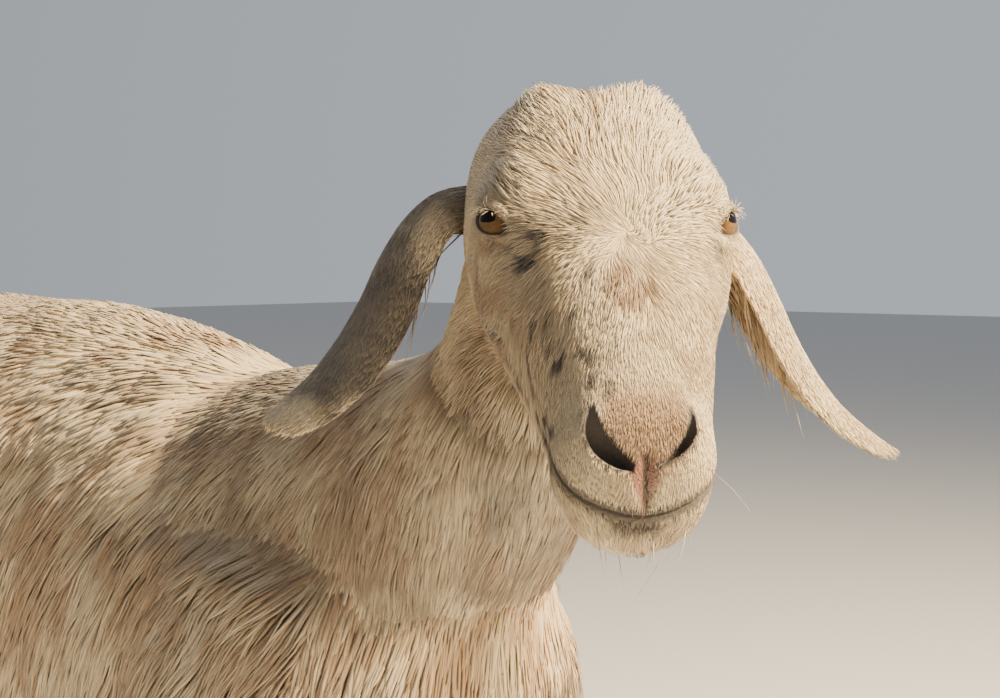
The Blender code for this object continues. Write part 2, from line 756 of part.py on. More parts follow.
def lock(bvh, place, lie, length, width, lift):
    """A flat, tapered lock with its root sunk in, that follows the body's surface out to a raised tip."""
    rings = []
    for share, broad, thick, height in LOCK_SHAPE:
        location, facing, _, _ = bvh.find_nearest(place + lie * length * share)
        middle = location + facing * (height * lift if height > 0 else height * LOCK_SINK)
        side = lie.cross(facing).normalized() * width / 2 * broad
        up = facing * LOCK_THICKNESS / 2 * thick
        rings.append([middle + side, middle + up, middle - side, middle - up])
    location, facing, _, _ = bvh.find_nearest(place + lie * length)
    return loft("lock", rings, location + facing * lift)


def coat_places(surface, spacing, rng):
    """Places spread evenly over a surface, no two nearer than the spacing, with the normals there."""
    surface.data.calc_loop_triangles()
    corners = [[surface.data.vertices[i].co for i in face.vertices] for face in surface.data.loop_triangles]
    normals = [Vector(face.normal) for face in surface.data.loop_triangles]
    areas = [face.area for face in surface.data.loop_triangles]
    picks = rng.choices(range(len(areas)), weights=areas, k=COAT_TRIES)
    kept, nets = [], {}
    for pick in picks:
        u, v = rng.random(), rng.random()
        if u + v > 1:
            u, v = 1 - u, 1 - v
        a, b, c = corners[pick]
        place = a + (b - a) * u + (c - a) * v
        cell = tuple(int(x // spacing) for x in place)
        near = [
            p
            for i in (-1, 0, 1)
            for j in (-1, 0, 1)
            for k in (-1, 0, 1)
            for p in nets.get((cell[0] + i, cell[1] + j, cell[2] + k), ())
        ]
        if all((p - place).length > spacing for p in near):
            nets.setdefault(cell, []).append(place)
            kept.append((place, normals[pick]))
    return kept


def clear_of(*spans):
    """A test that a point lies outside a box, given by its spans along x, y and z."""
    return lambda point: not all(low < value < high for value, (low, high) in zip(point, spans))


def with_locks(node, bounds, sizes, rng):
    """The node with locks fused on; each is kept on this side of the cuts that bound the node."""
    bvh = BVHTree.FromObject(node, bpy.context.evaluated_depsgraph_get())
    group = bpy.data.collections.new("locks")
    bpy.context.scene.collection.children.link(group)
    for place, normal in coat_places(node, sizes["spacing"], rng):
        lie = lie_of_coat(place, normal)
        long = sizes["length"] * rng.uniform(0.85, 1.15)
        wide = sizes["width"] * rng.uniform(0.85, 1.15)
        high = sizes["lift"] * rng.uniform(0.75, 1.2)
        side = lie.cross(normal) * wide / 2
        for share in (1, 0.75, 0.55, 0):
            broadest = place + lie * long * share * 0.3
            ends = (place - lie * LOCK_ROOT, broadest - side, broadest + side, place + lie * long * share)
            if share and all(test(end) for end in ends for test in bounds):
                break
        if share:
            made = lock(bvh, place, lie, long * share, wide, high)
            bpy.context.scene.collection.objects.unlink(made)
            group.objects.link(made)
    boolean = node.modifiers.new("locks", "BOOLEAN")
    boolean.operation = "UNION"
    boolean.solver = LOCK_SOLVER
    boolean.operand_type = "COLLECTION"
    boolean.collection = group
    applied(node)
    for made in list(group.objects):
        bpy.data.objects.remove(made)
    bpy.data.collections.remove(group)
    return largest(node)


def main():
    for old in list(bpy.data.objects):
        bpy.data.objects.remove(old)
    flesh = softened(fused(joined("flesh", body_pieces()), FLESH_VOXEL, 12), BREAST_ROUNDS)
    head_flesh = fused(joined("head_flesh", [head(), neck()]), HEAD_VOXEL, 8)
    swell(head_flesh, head_matrix(), head_features())

    rng = random.Random(SEED)
    nodes = {"head": (head_node(head_flesh), "coat")}
    throat, jaw = throat_plane()
    withers, rise = NECK_CUT[0], NECK_CUT[1].normalized()
    neck_cuts = [
        half_space("throat", throat - jaw * GAP / 2, -jaw),
        half_space("withers", withers + rise * GAP / 2, rise),
    ]
    neck_node = region(flesh, "neck", neck_cuts, BODY_TRIANGLES)
    torso = region(flesh, "torso", [half_space("withers", withers - rise * GAP / 2, -rise)], BODY_TRIANGLES)
    legs = (
        ("front", FORELEG, FORE_STEP, FORELEG_CUT, FORELEG_BACKS),
        ("hind", HINDLEG, HIND_STEP, HINDLEG_CUT, HINDLEG_BACKS),
    )
    for name, rows, steps, top, backs in legs:
        for side_name, side in SIDES.items():
            label = f"leg_{name}_{side_name}"
            nodes[label] = (region(flesh, label, [leg_block(backs, side, top)], LEG_TRIANGLES), "coat")
            cut(torso, leg_block(backs, side, top, GAP))
            label = f"hoof_{name}_{side_name}"
            nodes[label] = (hoof(label, rows, side, steps[side]), "hoof")
    wide, long, high = DOCK_SIZE
    dock = block("dock", (-wide / 2, TAIL_CUT + GAP, DOCK_LOW), DOCK_SIZE)
    nodes["tail"] = (region(flesh, "tail", [dock], LEG_TRIANGLES), "coat")
    cut(torso, block("dock", (-wide / 2 - GAP, TAIL_CUT, DOCK_LOW - GAP), (wide + 2 * GAP, long, high)))
    bag = udder()
    cut(torso, grown(bag, "udder_room", UDDER_GAP))
    for side_name in SIDES:
        cut(nodes[f"leg_hind_{side_name}"][0], grown(bag, "udder_room", UDDER_GAP))
    bounds = [
        lambda point: (withers - point).dot(rise) > LOCK_MARGIN,
        clear_of((-0.05, 0.05), (TAIL_CUT - 0.03, 1), (0.68, 1)),
        clear_of((-1, 1), (-0.155, 0.07), (0, HINDLEG_CUT + 0.02)),
        clear_of((-1, 1), (0.37, 1), (0, HINDLEG_CUT + 0.02)),
        clear_of((-0.11, 0.11), (0.32, 0.60), (0, 0.52)),
        clear_of((-1, 1), (-1, 1), (0, LOCK_FLOOR)),
    ]
    nodes["torso"] = (with_locks(torso, bounds, TORSO_LOCKS, rng), "coat")
    bounds = [
        lambda point: (point - withers).dot(rise) > LOCK_MARGIN,
        lambda point: (throat - point).dot(jaw) > LOCK_MARGIN,
    ]
    nodes["neck"] = (with_locks(neck_node, bounds, NECK_LOCKS, rng), "coat")
    nodes["udder"] = (bag, "udder_skin")
    for side_name, side in SIDES.items():
        flap = ear(side)
        cut(flap, grown(nodes["head"][0], "head_room", GAP))
        nodes[f"ear_{side_name}"] = (flap, "coat")
        nodes[f"eye_{side_name}"] = (ball(f"eye_{side_name}", EYE_RADIUS, eye_matrix(side)), "eye")
    bpy.data.objects.remove(flesh)
    bpy.data.objects.remove(head_flesh)
    finish(nodes)


def finish(nodes):
    """Materials, smooth shading, and one parent that stands the goat's box over the origin."""
    group = bpy.data.collections.new("nanny_goat")
    bpy.context.scene.collection.children.link(group)
    low, high = np.full(3, np.inf), np.full(3, -np.inf)
    for made, _ in nodes.values():
        places = np.empty(len(made.data.vertices) * 3)
        made.data.vertices.foreach_get("co", places)
        low = np.minimum(low, places.reshape(-1, 3).min(0))
        high = np.maximum(high, places.reshape(-1, 3).max(0))
    origin = bpy.data.objects.new("goat_origin", None)
    origin.location = (-(low[0] + high[0]) / 2, -(low[1] + high[1]) / 2, -low[2])
    group.objects.link(origin)
    materials = {name: material(name) for name in COLOURS}
    for name, (made, slot) in nodes.items():
        bpy.context.scene.collection.objects.unlink(made)
        group.objects.link(made)
        made.name = name
        made.data.name = name
        made.data.materials.clear()
        made.data.materials.append(materials[slot])
        made.data.shade_smooth()
        made.data.set_sharp_from_angle(angle=radians(50))
        made.parent = origin


main()
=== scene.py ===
"""The looks of the nanny goat: its skin, coat, eyes, hooves and udder, and the studio round it.

Metres, +Z up. The goat faces -Y, so its right side is -X. The forms are built in the goat's own frame, in
which HEAD_POINT and the tables below stand, and every piece is then moved to where the fixed frame's right
eye is. A side is -1 on the goat's right and 1 on its left.
"""

from math import atan2, cos, pi, radians, sin

import bmesh
import bpy
import numpy as np
from mathutils import Matrix, Vector
from mathutils.kdtree import KDTree


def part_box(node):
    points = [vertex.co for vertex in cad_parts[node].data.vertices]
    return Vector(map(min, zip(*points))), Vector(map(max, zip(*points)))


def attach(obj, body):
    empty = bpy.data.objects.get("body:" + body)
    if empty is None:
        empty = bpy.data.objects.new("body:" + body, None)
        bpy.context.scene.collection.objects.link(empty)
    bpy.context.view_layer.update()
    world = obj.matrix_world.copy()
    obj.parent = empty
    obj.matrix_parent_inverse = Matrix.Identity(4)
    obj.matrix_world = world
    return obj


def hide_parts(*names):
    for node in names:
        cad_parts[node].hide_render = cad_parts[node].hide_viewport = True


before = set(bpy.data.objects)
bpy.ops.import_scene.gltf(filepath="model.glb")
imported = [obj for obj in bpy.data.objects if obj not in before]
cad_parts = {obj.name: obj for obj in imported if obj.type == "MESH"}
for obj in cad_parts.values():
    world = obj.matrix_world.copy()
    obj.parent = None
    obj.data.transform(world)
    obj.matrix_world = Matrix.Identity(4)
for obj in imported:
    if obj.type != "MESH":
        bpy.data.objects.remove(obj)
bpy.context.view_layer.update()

# Driving sizes
HEAD_POINT = Vector((-0.055, -0.345, 0.806))  # the origin of the head's own frame, low between the eyes
HEAD_YAW = radians(44)  # the head turns this far to the goat's right
HEAD_PITCH = radians(45)  # and its face slopes this far below level
EYE_RADIUS = 0.0145
HOOF_HEIGHT = 0.036

# The trunk from breast to rump: distance back, top and bottom above the ground, half width.
TRUNK = (
    (-0.257, 0.596, 0.525, 0.036),
    (-0.232, 0.630, 0.480, 0.080),
    (-0.170, 0.676, 0.445, 0.110),
    (-0.080, 0.714, 0.425, 0.129),
    (0.040, 0.752, 0.408, 0.138),
    (0.150, 0.772, 0.396, 0.155),
    (0.270, 0.776, 0.384, 0.180),
    (0.380, 0.780, 0.386, 0.184),
    (0.470, 0.780, 0.418, 0.162),
    (0.550, 0.768, 0.470, 0.136),
    (0.610, 0.742, 0.520, 0.104),
    (0.645, 0.700, 0.570, 0.060),
    (0.660, 0.665, 0.605, 0.022),
)

# The neck's centre line, x y z, its half width and half depth, and how far it has turned to the right.
NECK = (
    (0.000, -0.020, 0.590, 0.114, 0.134, 0),
    (-0.003, -0.120, 0.630, 0.103, 0.118, 4),
    (-0.010, -0.200, 0.669, 0.083, 0.088, 12),
    (-0.018, -0.259, 0.715, 0.061, 0.063, 24),
    (-0.026, -0.291, 0.767, 0.051, 0.052, 35),
    (-0.032, -0.305, 0.825, 0.048, 0.056, 42),
)

# The legs: distance out from the midline, back, up, half width, half length fore and aft.
FORELEG = (
    (0.085, -0.130, 0.630, 0.034, 0.070),
    (0.098, -0.115, 0.550, 0.044, 0.082),
    (0.102, -0.075, 0.480, 0.040, 0.072),
    (0.098, -0.035, 0.430, 0.036, 0.055),
    (0.094, -0.025, 0.385, 0.033, 0.043),
    (0.090, -0.028, 0.330, 0.027, 0.032),
    (0.088, -0.030, 0.270, 0.0215, 0.0235),
    (0.087, -0.033, 0.240, 0.0245, 0.0265),
    (0.086, -0.029, 0.205, 0.0185, 0.0195),
    (0.085, -0.024, 0.150, 0.0150, 0.0165),
    (0.085, -0.022, 0.105, 0.0155, 0.0180),
    (0.085, -0.022, 0.083, 0.0200, 0.0215),
    (0.085, -0.034, 0.055, 0.0175, 0.0180),
    (0.085, -0.042, 0.020, 0.0190, 0.0210),
)
HINDLEG = (
    (0.080, 0.530, 0.690, 0.040, 0.070),
    (0.098, 0.520, 0.620, 0.052, 0.098),
    (0.108, 0.500, 0.540, 0.050, 0.100),
    (0.110, 0.480, 0.470, 0.042, 0.078),
    (0.104, 0.505, 0.415, 0.035, 0.058),
    (0.098, 0.545, 0.355, 0.028, 0.040),
    (0.093, 0.585, 0.305, 0.0215, 0.0290),
    (0.090, 0.600, 0.275, 0.0235, 0.0310),
    (0.089, 0.592, 0.235, 0.0195, 0.0235),
    (0.088, 0.580, 0.180, 0.0155, 0.0175),
    (0.088, 0.570, 0.110, 0.0155, 0.0180),
    (0.088, 0.567, 0.085, 0.0200, 0.0215),
    (0.088, 0.553, 0.055, 0.0175, 0.0180),
    (0.088, 0.546, 0.020, 0.0190, 0.0210),
)
CLAW_LENGTH, CLAW_WIDTH, CLEFT, CLAW_AHEAD = 0.062, 0.023, 0.0024, 0.004
CLAW_LEVELS = ((0.0, 1.0, 0.0), (0.016, 0.96, 0.005), (HOOF_HEIGHT, 0.84, 0.012))  # height, size, set back
CLAW_POINT = 0.35  # how much a claw narrows to its tip
HEEL_PLACE, HEEL_SIZE = (0.014, 0.021), (0.014, 0.013, 0.013)
FORE_STEP = {-1: -0.018, 1: 0.012}  # how far each forefoot stands back of the drawn one
HIND_STEP = {-1: 0.020, 1: -0.022}

# The tail's centre line, back and up, with its half width and half depth.
TAIL = (
    (0.590, 0.745, 0.034, 0.026),
    (0.640, 0.752, 0.027, 0.019),
    (0.685, 0.748, 0.024, 0.014),
    (0.725, 0.728, 0.019, 0.010),
    (0.755, 0.700, 0.008, 0.005),
)

# The head in its own frame, in centimetres: distance forward of the eyes along the face, height of the
# face line and depth of the jaw from that line, half width, and how square the section is.
HEAD = (
    (-10.2, 1.0, -2.5, 2.6, 2.0),
    (-9.4, 2.7, -4.6, 4.5, 2.0),
    (-8.0, 4.1, -6.6, 5.7, 2.1),
    (-6.0, 5.0, -8.0, 6.4, 2.2),
    (-3.0, 5.3, -8.3, 6.7, 2.3),
    (0.0, 4.9, -8.0, 6.5, 2.4),
    (3.0, 4.4, -7.1, 5.95, 2.4),
    (6.0, 3.9, -6.1, 5.2, 2.4),
    (8.8, 3.25, -5.3, 4.35, 2.3),
    (11.2, 2.5, -4.9, 3.8, 2.3),
    (13.1, 1.5, -4.6, 3.4, 2.2),
    (14.5, 0.0, -4.0, 2.7, 2.1),
    (15.3, -1.2, -3.1, 1.4, 2.0),
)

# Swellings and hollows of the head, in centimetres in its own frame: forward, out, up, reach, height.
FEATURES = {
    "poll knob": (-7.4, 2.5, 4.3, 1.7, 0.35),
    "brow": (-0.9, 5.1, 4.0, 1.8, 0.48),
    "eye mound": (0.8, 5.9, 2.7, 1.7, 0.38),
    "tear hollow": (3.6, 4.9, 2.4, 1.4, -0.30),
    "temple": (-3.8, 6.5, 2.0, 1.6, -0.20),
    "cheekbone": (2.6, 6.0, -1.4, 2.0, 0.25),
    "cheek": (-2.5, 6.0, -5.2, 3.2, 0.35),
    "nose wing": (12.2, 2.3, 1.9, 1.0, 0.22),
    "lip pad": (13.4, 2.5, 0.1, 1.3, 0.22),
    "face hollow": (6.0, 5.0, -0.6, 2.6, -0.42),
}
MIDLINE_FEATURES = {
    "crown dip": (-8.0, 0.0, 4.1, 1.3, -0.40),
    "chin": (12.4, 0.0, -4.9, 1.8, 0.25),
    "throat": (2.0, 0.0, -7.4, 2.5, -0.35),
}
EYE = (0.3, 4.75, 2.2)  # the middle of an eyeball
EYE_AXIS = (0.36, 0.80, 0.48)  # where it looks, in the same frame
LIDS_LENGTH, LIDS_HEIGHT = 0.026, 0.0135
LIDS_TILT = radians(30)  # the slit between the lids leans this much up from the face line

# One half of the mouth, from its corner to the middle of the lips: forward, out, up.
MOUTH = (
    (9.6, 4.2, -1.3),
    (11.2, 3.9, -0.9),
    (12.6, 3.55, -0.6),
    (13.7, 3.0, -0.5),
    (14.5, 2.1, -0.6),
    (14.95, 1.1, -0.75),
    (15.1, 0.0, -0.85),
)
# A nostril from its upper, outer end to its lower, inner one: forward, out, up, and how wide it is.
NOSTRIL = (
    (11.3, 2.20, 2.15, 0.18),
    (11.9, 2.18, 1.92, 0.30),
    (12.5, 2.02, 1.58, 0.46),
    (13.0, 1.55, 1.16, 0.52),
    (13.4, 0.94, 0.90, 0.42),
    (13.7, 0.45, 0.80, 0.18),
)
NOSTRIL_FLARE = {-1: 1.0, 1: 0.55}  # the right one stands wide open, the left one is nearly shut

# The back of each ear from its root, as distances out, forward and up of the head's origin, in centimetres,
# then its width round the curl, how far round the curl goes, and how far its mouth turns in from the front.
EARS = {
    -1: (
        (4.2, -5.6, 3.3, 5.6, 250, 60),
        (6.2, -5.5, 3.5, 6.0, 235, 75),
        (8.0, -5.3, 3.1, 6.4, 205, 88),
        (9.5, -4.9, 1.8, 6.6, 175, 98),
        (10.7, -4.4, -0.2, 6.5, 155, 108),
        (11.7, -3.8, -2.6, 6.2, 140, 116),
        (12.8, -3.1, -4.7, 5.6, 125, 122),
        (14.1, -2.4, -6.5, 4.6, 110, 126),
        (15.4, -1.9, -7.7, 3.4, 95, 130),
        (16.1, -1.7, -8.2, 2.2, 85, 130),
        (16.4, -1.6, -8.4, 0.8, 80, 130),
    ),
    1: (
        (4.2, -5.6, 2.8, 5.6, 250, 60),
        (6.0, -5.5, 2.6, 6.0, 235, 70),
        (7.7, -5.3, 1.7, 6.4, 205, 80),
        (9.2, -4.9, 0.0, 6.6, 175, 88),
        (10.3, -4.4, -2.2, 6.5, 155, 92),
        (11.2, -3.8, -4.4, 6.2, 145, 95),
        (12.2, -3.1, -6.4, 5.4, 135, 98),
        (13.4, -2.4, -8.1, 4.4, 120, 102),
        (14.8, -1.9, -9.4, 3.2, 100, 105),
        (15.6, -1.7, -10.0, 2.0, 90, 105),
        (15.9, -1.6, -10.2, 0.8, 80, 105),
    ),
}
EAR_THICKNESS = 0.0042

# The udder, from inside the belly down: height, half width, half length, and how far back it is.
UDDER = (
    (0.470, 0.050, 0.060, 0.470),
    (0.440, 0.060, 0.072, 0.470),
    (0.405, 0.062, 0.070, 0.468),
    (0.375, 0.055, 0.058, 0.464),
    (0.352, 0.040, 0.042, 0.460),
    (0.342, 0.020, 0.022, 0.458),
)
TEAT = ((0.372, 0.018), (0.355, 0.014), (0.335, 0.0095), (0.312, 0.0085), (0.302, 0.0050))  # height, radius
TEAT_OUT, TEAT_BACK, TEAT_SPLAY, TEAT_LEAN = 0.027, 0.450, 0.35, 0.3

# Where the coat's regions part: the neck along a direction from the withers, the head along a slope from a
# point behind and below its origin, and the legs and the tail at distances back and out.
WITHERS, NECK_RISE = Vector((0, -0.152, 0.667)), Vector((0, -0.60, 0.80)).normalized()
THROAT_BACK, THROAT_DOWN, THROAT_SLOPE = 0.073, 0.060, radians(54)
FORELEG_BACK, HINDLEG_BACK, LEG_INSIDE = 0.050, 0.425, 0.035
TAIL_BACK = 0.654
SWING_FROM = 0.48  # a foot's step is spread over its leg from this height down
JAW_NARROWING, JAW_NARROW_TO = 0.22, 8  # how much the lower jaw narrows behind, fading out this far forward

SIDES = {"right": -1, "left": 1}
SIDE_NAMES = {side: name for name, side in SIDES.items()}
CM = 0.01
UP, SIDEWAYS = Vector((0, 0, 1)), Vector((1, 0, 0))
HEAD_FORWARD = np.array((-sin(HEAD_YAW), -cos(HEAD_YAW), 0.0))
HEAD_LEFT = np.array((cos(HEAD_YAW), -sin(HEAD_YAW), 0.0))
THROAT = HEAD_POINT - Vector(HEAD_FORWARD) * THROAT_BACK - UP * THROAT_DOWN
JAW = Vector(HEAD_FORWARD) * cos(THROAT_SLOPE) + UP * sin(THROAT_SLOPE)

# Sizes of the looks
SKIN_VOXEL, SKIN_ROUNDS = 0.0058, 26
FACE_VOXEL, FACE_ROUNDS = 0.0023, 10
UDDER_VOXEL, UDDER_ROUNDS = 0.0026, 8
# Where neck and trunk meet: the middles of the softer places and their reach, and the rounds of smoothing.
SOFT_SPOTS = (
    (Vector((-0.005, -0.235, 0.610)), 0.13),
    (Vector((0.085, -0.180, 0.672)), 0.11),
    (Vector((0.0, -0.095, 0.735)), 0.11),
)
SOFT_ROUNDS = 80
FINE_OVERLAP, COARSE_OVERLAP = 0.012, 0.004  # how far the head's skin and the body's pass the throat
CAP = 0.0005  # how near its cut a face counts as part of the cap that the cut leaves
SKIN_DEPTHS = (0.0040, 0.0022, 0.0015)  # how deep the skin lies under the flesh: trunk, head and legs
SOCKET_SWELLING = (0.5, 5.4, 2.8, 2.3, 0.26)  # forward, out, up, reach and height, as in FEATURES
ALONG_HAIR = (1.0, 0.9, 0.36)  # draws the body's markings out down the coat
SEED = 11
PATCH = 0.003  # the side of a tuft's patch in the unwrap
WHORL = (3.2, 0.0, 4.3)  # the middle of the forehead, which the face's hair turns away from

# A tuft by its rings: how many stay under 200,000 triangles, where its rings and its tip stand along it,
# and how broad each ring is.
TUFTS = {
    2: (19000, (-0.08, 0.52, 1.0), (0.95, 0.70)),
    3: (12000, (-0.06, 0.38, 0.74, 1.0), (0.75, 1.0, 0.62)),
}
# The coat by region: tufts, length, width, how far they stand off, rings in a tuft, and how far the tips
# draw together. A region's place in this order sets its random draws.
COAT = {
    "body": (64000, 0.044, 0.0034, 0.17, 2, 0.38),
    "neck": (17000, 0.040, 0.0030, 0.16, 2, 0.36),
    "face": (43000, 0.0085, 0.0009, 0.10, 2, 0.34),
    "legs": (9500, 0.013, 0.0017, 0.14, 2, 0.20),
    "tail": (2600, 0.034, 0.0024, 0.22, 2, 0.40),
}
TUFTS_IN_A_LOCK = 22
LOCK_REACH, LOCK_EDGE = 0.9, 0.010  # how far a lock draws, as a share of a tuft's length, and its soft edge
# How far a tuft strays sideways, hangs, is laid down again and turns, and how high it is for its half width.
WAVE, SAG, LEVELLING, TWIST, TUFT_HEIGHT = 0.30, 0.10, 0.25, 0.5, 0.55
STRANDS, STRAND_JUMP = 6.0, 200  # how many hairs show side by side in a tuft, and how its pattern is moved
ROAN = 0.55  # how far single tufts stray from the markings round them
EAR_HAIRS, EAR_INNER_HAIRS, LID_HAIRS, LASHES, WHISKERS = 5400, 420, 760, 30, 300

CREAM, WHITE = (0.86, 0.69, 0.43), (0.93, 0.82, 0.61)
TAN, UMBER, PINK = (0.40, 0.215, 0.105), (0.072, 0.062, 0.060), (0.36, 0.16, 0.11)
IRIS_DARK, IRIS_PALE, IRIS_RIM = (0.075, 0.040, 0.018), (0.23, 0.135, 0.062), (0.055, 0.032, 0.02)
PUPIL_BLACK = (0.008, 0.007, 0.009)
HORN_DARK, HORN_PALE, HORN_RINGS = (0.16, 0.115, 0.080), (0.36, 0.285, 0.205), (0.115, 0.085, 0.062)
UDDER_DARK, UDDER_PALE = (0.62, 0.35, 0.28), (0.80, 0.56, 0.46)

EAR_ROWS, EAR_STEPS = 5, 22  # rows between two of the table, and faces round the curl
EAR_GREY_AND_SHADE = {-1: 0.92, 1: 0.10}  # how grey the back of each ear is, with painted shade on the right one
EYE_GREY_AND_SHADE = {-1: 0.60, 1: 0.20}  # how dark round each eye: greyish-brown hair with painted shade, most on the right
CLAW_STEPS = 26  # points round a claw
HOOF_BEVEL = 0.0040
DEWCLAW_OUT, DEWCLAW_BACK, DEWCLAW_UP, DEWCLAW_LEAN = 0.0085, 0.0300, 0.070, radians(-35)
DEWCLAW_SIZE = (0.0055, 0.0075, 0.0095)
CORNEA = 0.0007
PUPIL_LENGTH, PUPIL_HEIGHT, PUPIL_UP = 0.0053, 0.0029, 0.0021
# The lids from the inner edge of their opening outward: how wide, and how far off the eyeball.
LID_RINGS = (
    (0.93, 0.0001),
    (0.95, 0.0010),
    (1.00, 0.0016),
    (1.10, 0.0019),
    (1.30, 0.0021),
    (1.60, 0.0019),
    (2.20, 0.0008),
)
LID_EDGE = 2  # the ring of them that the lashes grow from
LID_STEPS = 72
LID_LONG, LID_HIGH = 0.92, 0.84  # the opening's share of the slit
SOCKET_ROOM, LID_ROOM, LID_REACH = 0.0007, 1.03, 0.0022
PHILTRUM = ((13.5, 1.0), (13.9, 0.7), (14.25, 0.4), (14.55, 0.1), (14.85, -0.2))  # forward and up
PHILTRUM_OUT, PHILTRUM_REACH, PHILTRUM_HEIGHT = 0.1, 0.30, -0.14
MOUTH_MIDDLE = Vector((10, 0, 0))
MOUTH_WEDGE = ((0.5, 0.13), (0.5, -0.13), (-0.35, -0.03), (-0.35, 0.03))  # its corners, outward and up
SLIT_FROM, SLIT_TO = 0.0065, 0.030  # how far from an eyeball's middle the cut between the lids goes
CLAW_SQUARENESS = 2.6
EAR_RIM_THINNING = 0.45
MOUTH_BARE, NOSTRIL_BARE = 0.34, 0.06  # no hair grows nearer than this, in centimetres
LIDS_BARE = 1.55  # nor where the squared shares of the slit's half length and half height add up to less
CORNEA_EDGE = 0.55  # where along an eyeball's axis its bulge begins, as a share of the radius
SHELL_LIMIT = 0.985  # how far out on an eyeball the lids reach, as a share of its radius

# The camera looks VIEW round from the goat's tail-ward axis. The rest are its distance from the head, its
# height, how far it stands to the left, how far the horizon is above the middle, and the focal length.
VIEW = radians(50)
CAMERA_AWAY, CAMERA_HEIGHT, CAMERA_LEFT = 0.65, 0.80, 0.05
HORIZON_PIXELS, FOCAL_PIXELS = 84, 1313
LENS, SENSOR = 47.27, 36
# Lights: right, ahead and up of the head as the camera sees it, the size, the power and the colour.
LIGHTS = {
    "key": ((1.9, -0.30, 1.5), 0.6, 400, (1.0, 0.79, 0.49)),
    "fill": ((-1.7, -1.1, 0.5), 1.8, 2, (0.90, 0.94, 1.0)),
    "top": ((0.0, 0.7, 2.0), 2.4, 22, (1.0, 0.96, 0.90)),
}
SKY, SKY_DIM, SKY_BRIGHT = (0.87, 0.92, 1.0), 0.11, 0.56
FLOOR, FLOOR_SIZE = (0.78, 0.77, 0.75), 20


def smooth_rows(rows, per_row):
    """Rows of numbers with more between them, on a curve through all of them."""
    rows = np.array(rows, float)
    ends = np.vstack((2 * rows[0] - rows[1], rows, 2 * rows[-1] - rows[-2]))
    out = []
    for i in range(1, len(ends) - 2):
        a, b, c, d = ends[i - 1 : i + 3]
        for t in (k / per_row for k in range(per_row)):
            bend = (2 * a - 5 * b + 4 * c - d) * t**2 + (3 * b - a - 3 * c + d) * t**3
            out.append(0.5 * (2 * b + (c - a) * t + bend))
    return np.array(out + [rows[-1]])


def rounded(angle, power):
    """The cosine and sine of an angle on a superellipse of that power."""
    c, s = cos(angle), sin(angle)
    return np.sign(c) * abs(c) ** (2 / power), np.sign(s) * abs(s) ** (2 / power)


def placed(name, data):
    """An object that holds the data, in the scene."""
    made = bpy.data.objects.new(name, data)
    bpy.context.scene.collection.objects.link(made)
    return made


def mesh_object(name, mesh, matrix=None):
    """An object that holds a bmesh, which is then freed."""
    data = bpy.data.meshes.new(name)
    mesh.to_mesh(data)
    mesh.free()
    if matrix is not None:
        data.transform(matrix)
    return placed(name, data)


def strips(mesh, rows):
    """Faces between rings of vertices of one count."""
    count = len(rows[0])
    for low, high in zip(rows, rows[1:]):
        for k in range(count):
            n = (k + 1) % count
            mesh.faces.new((low[k], low[n], high[n], high[k]))


def loft(name, rings, matrix=None):
    """A mesh object through rings of points of one count, closed by fans, and moved by the matrix."""
    mesh = bmesh.new()
    rows = [[mesh.verts.new(p) for p in ring] for ring in rings]
    count = len(rows[0])
    strips(mesh, rows)
    for row in (rows[0], rows[-1]):
        middle = mesh.verts.new(sum((v.co for v in row), Vector()) / count)
        for k in range(count):
            mesh.faces.new((row[k], row[(k + 1) % count], middle))
    bmesh.ops.recalc_face_normals(mesh, faces=mesh.faces)
    return mesh_object(name, mesh, matrix)


def tube_rings(rows, across=SIDEWAYS, count=28, power=2.2):
    """Rings square to a path. Each row is x y z, half width, half depth; across is the side's direction."""
    tangents = np.gradient(np.array([row[:3] for row in rows]), axis=0)
    sides = across if isinstance(across, list) else [across] * len(rows)
    rings = []
    for row, tangent, side in zip(rows, tangents, sides):
        along = Vector(tangent).normalized()
        side = (side - along * side.dot(along)).normalized()
        up = along.cross(side)
        ring = []
        for k in range(count):
            c, s = rounded(2 * pi * k / count, power)
            ring.append(Vector(row[:3]) + side * (c * row[3]) + up * (s * row[4]))
        rings.append(ring)
    return rings


def egg(count, power, section, waist, pinch_above, pinch_below):
    """Points across and up of a closed section (top, bottom, half width), pinched off its waist."""
    top, bottom, half = section
    middle = bottom + waist * (top - bottom)
    points = []
    for k in range(count):
        c, s = rounded(2 * pi * k / count, power)
        height = (top - middle) if s > 0 else (middle - bottom)
        pinch = 1 - pinch_above * max(s, 0) ** 2 - pinch_below * max(-s, 0) ** 2
        points.append((half * c * pinch, middle + height * s))
    return points


def trunk():
    """The trunk, egg-shaped in section, widest a little below its middle."""
    rings = []
    for back, *section in smooth_rows(TRUNK, 4):
        rings.append([Vector((x, back, z)) for x, z in egg(40, 2.15, section, 0.46, 0.16, 0)])
    return loft("trunk", rings)


def neck():
    """The neck, which rises from the trunk and turns to the right."""
    rows = smooth_rows(NECK, 4)
    turns = [radians(row[5]) for row in rows]
    return loft("neck_flesh", tube_rings(rows, [Vector((cos(turn), -sin(turn), 0)) for turn in turns]))


def leg(rows, side, step):
    """One leg, from inside the trunk down into its hoof; the foot is moved back by step."""
    moved = []
    bottom = rows[-1][2]
    for out, back, up, half, deep in smooth_rows(rows, 3):
        share = min(1, max(0, (SWING_FROM - up) / (SWING_FROM - bottom)))
        moved.append((side * out, back + step * share, up, half, deep))
    return loft("leg_flesh", tube_rings(moved, count=22, power=2.1))


def head():
    """The skull with its jaw and muzzle, before its features."""
    rings = []
    for forward, *section, power in smooth_rows(HEAD, 5):
        narrow = JAW_NARROWING * min(1, max(0, (JAW_NARROW_TO - forward) / JAW_NARROW_TO))
        rings.append([Vector((forward, x, z)) * CM for x, z in egg(48, power, section, 0.56, 0, narrow)])
    return loft("head_flesh", rings, head_matrix())


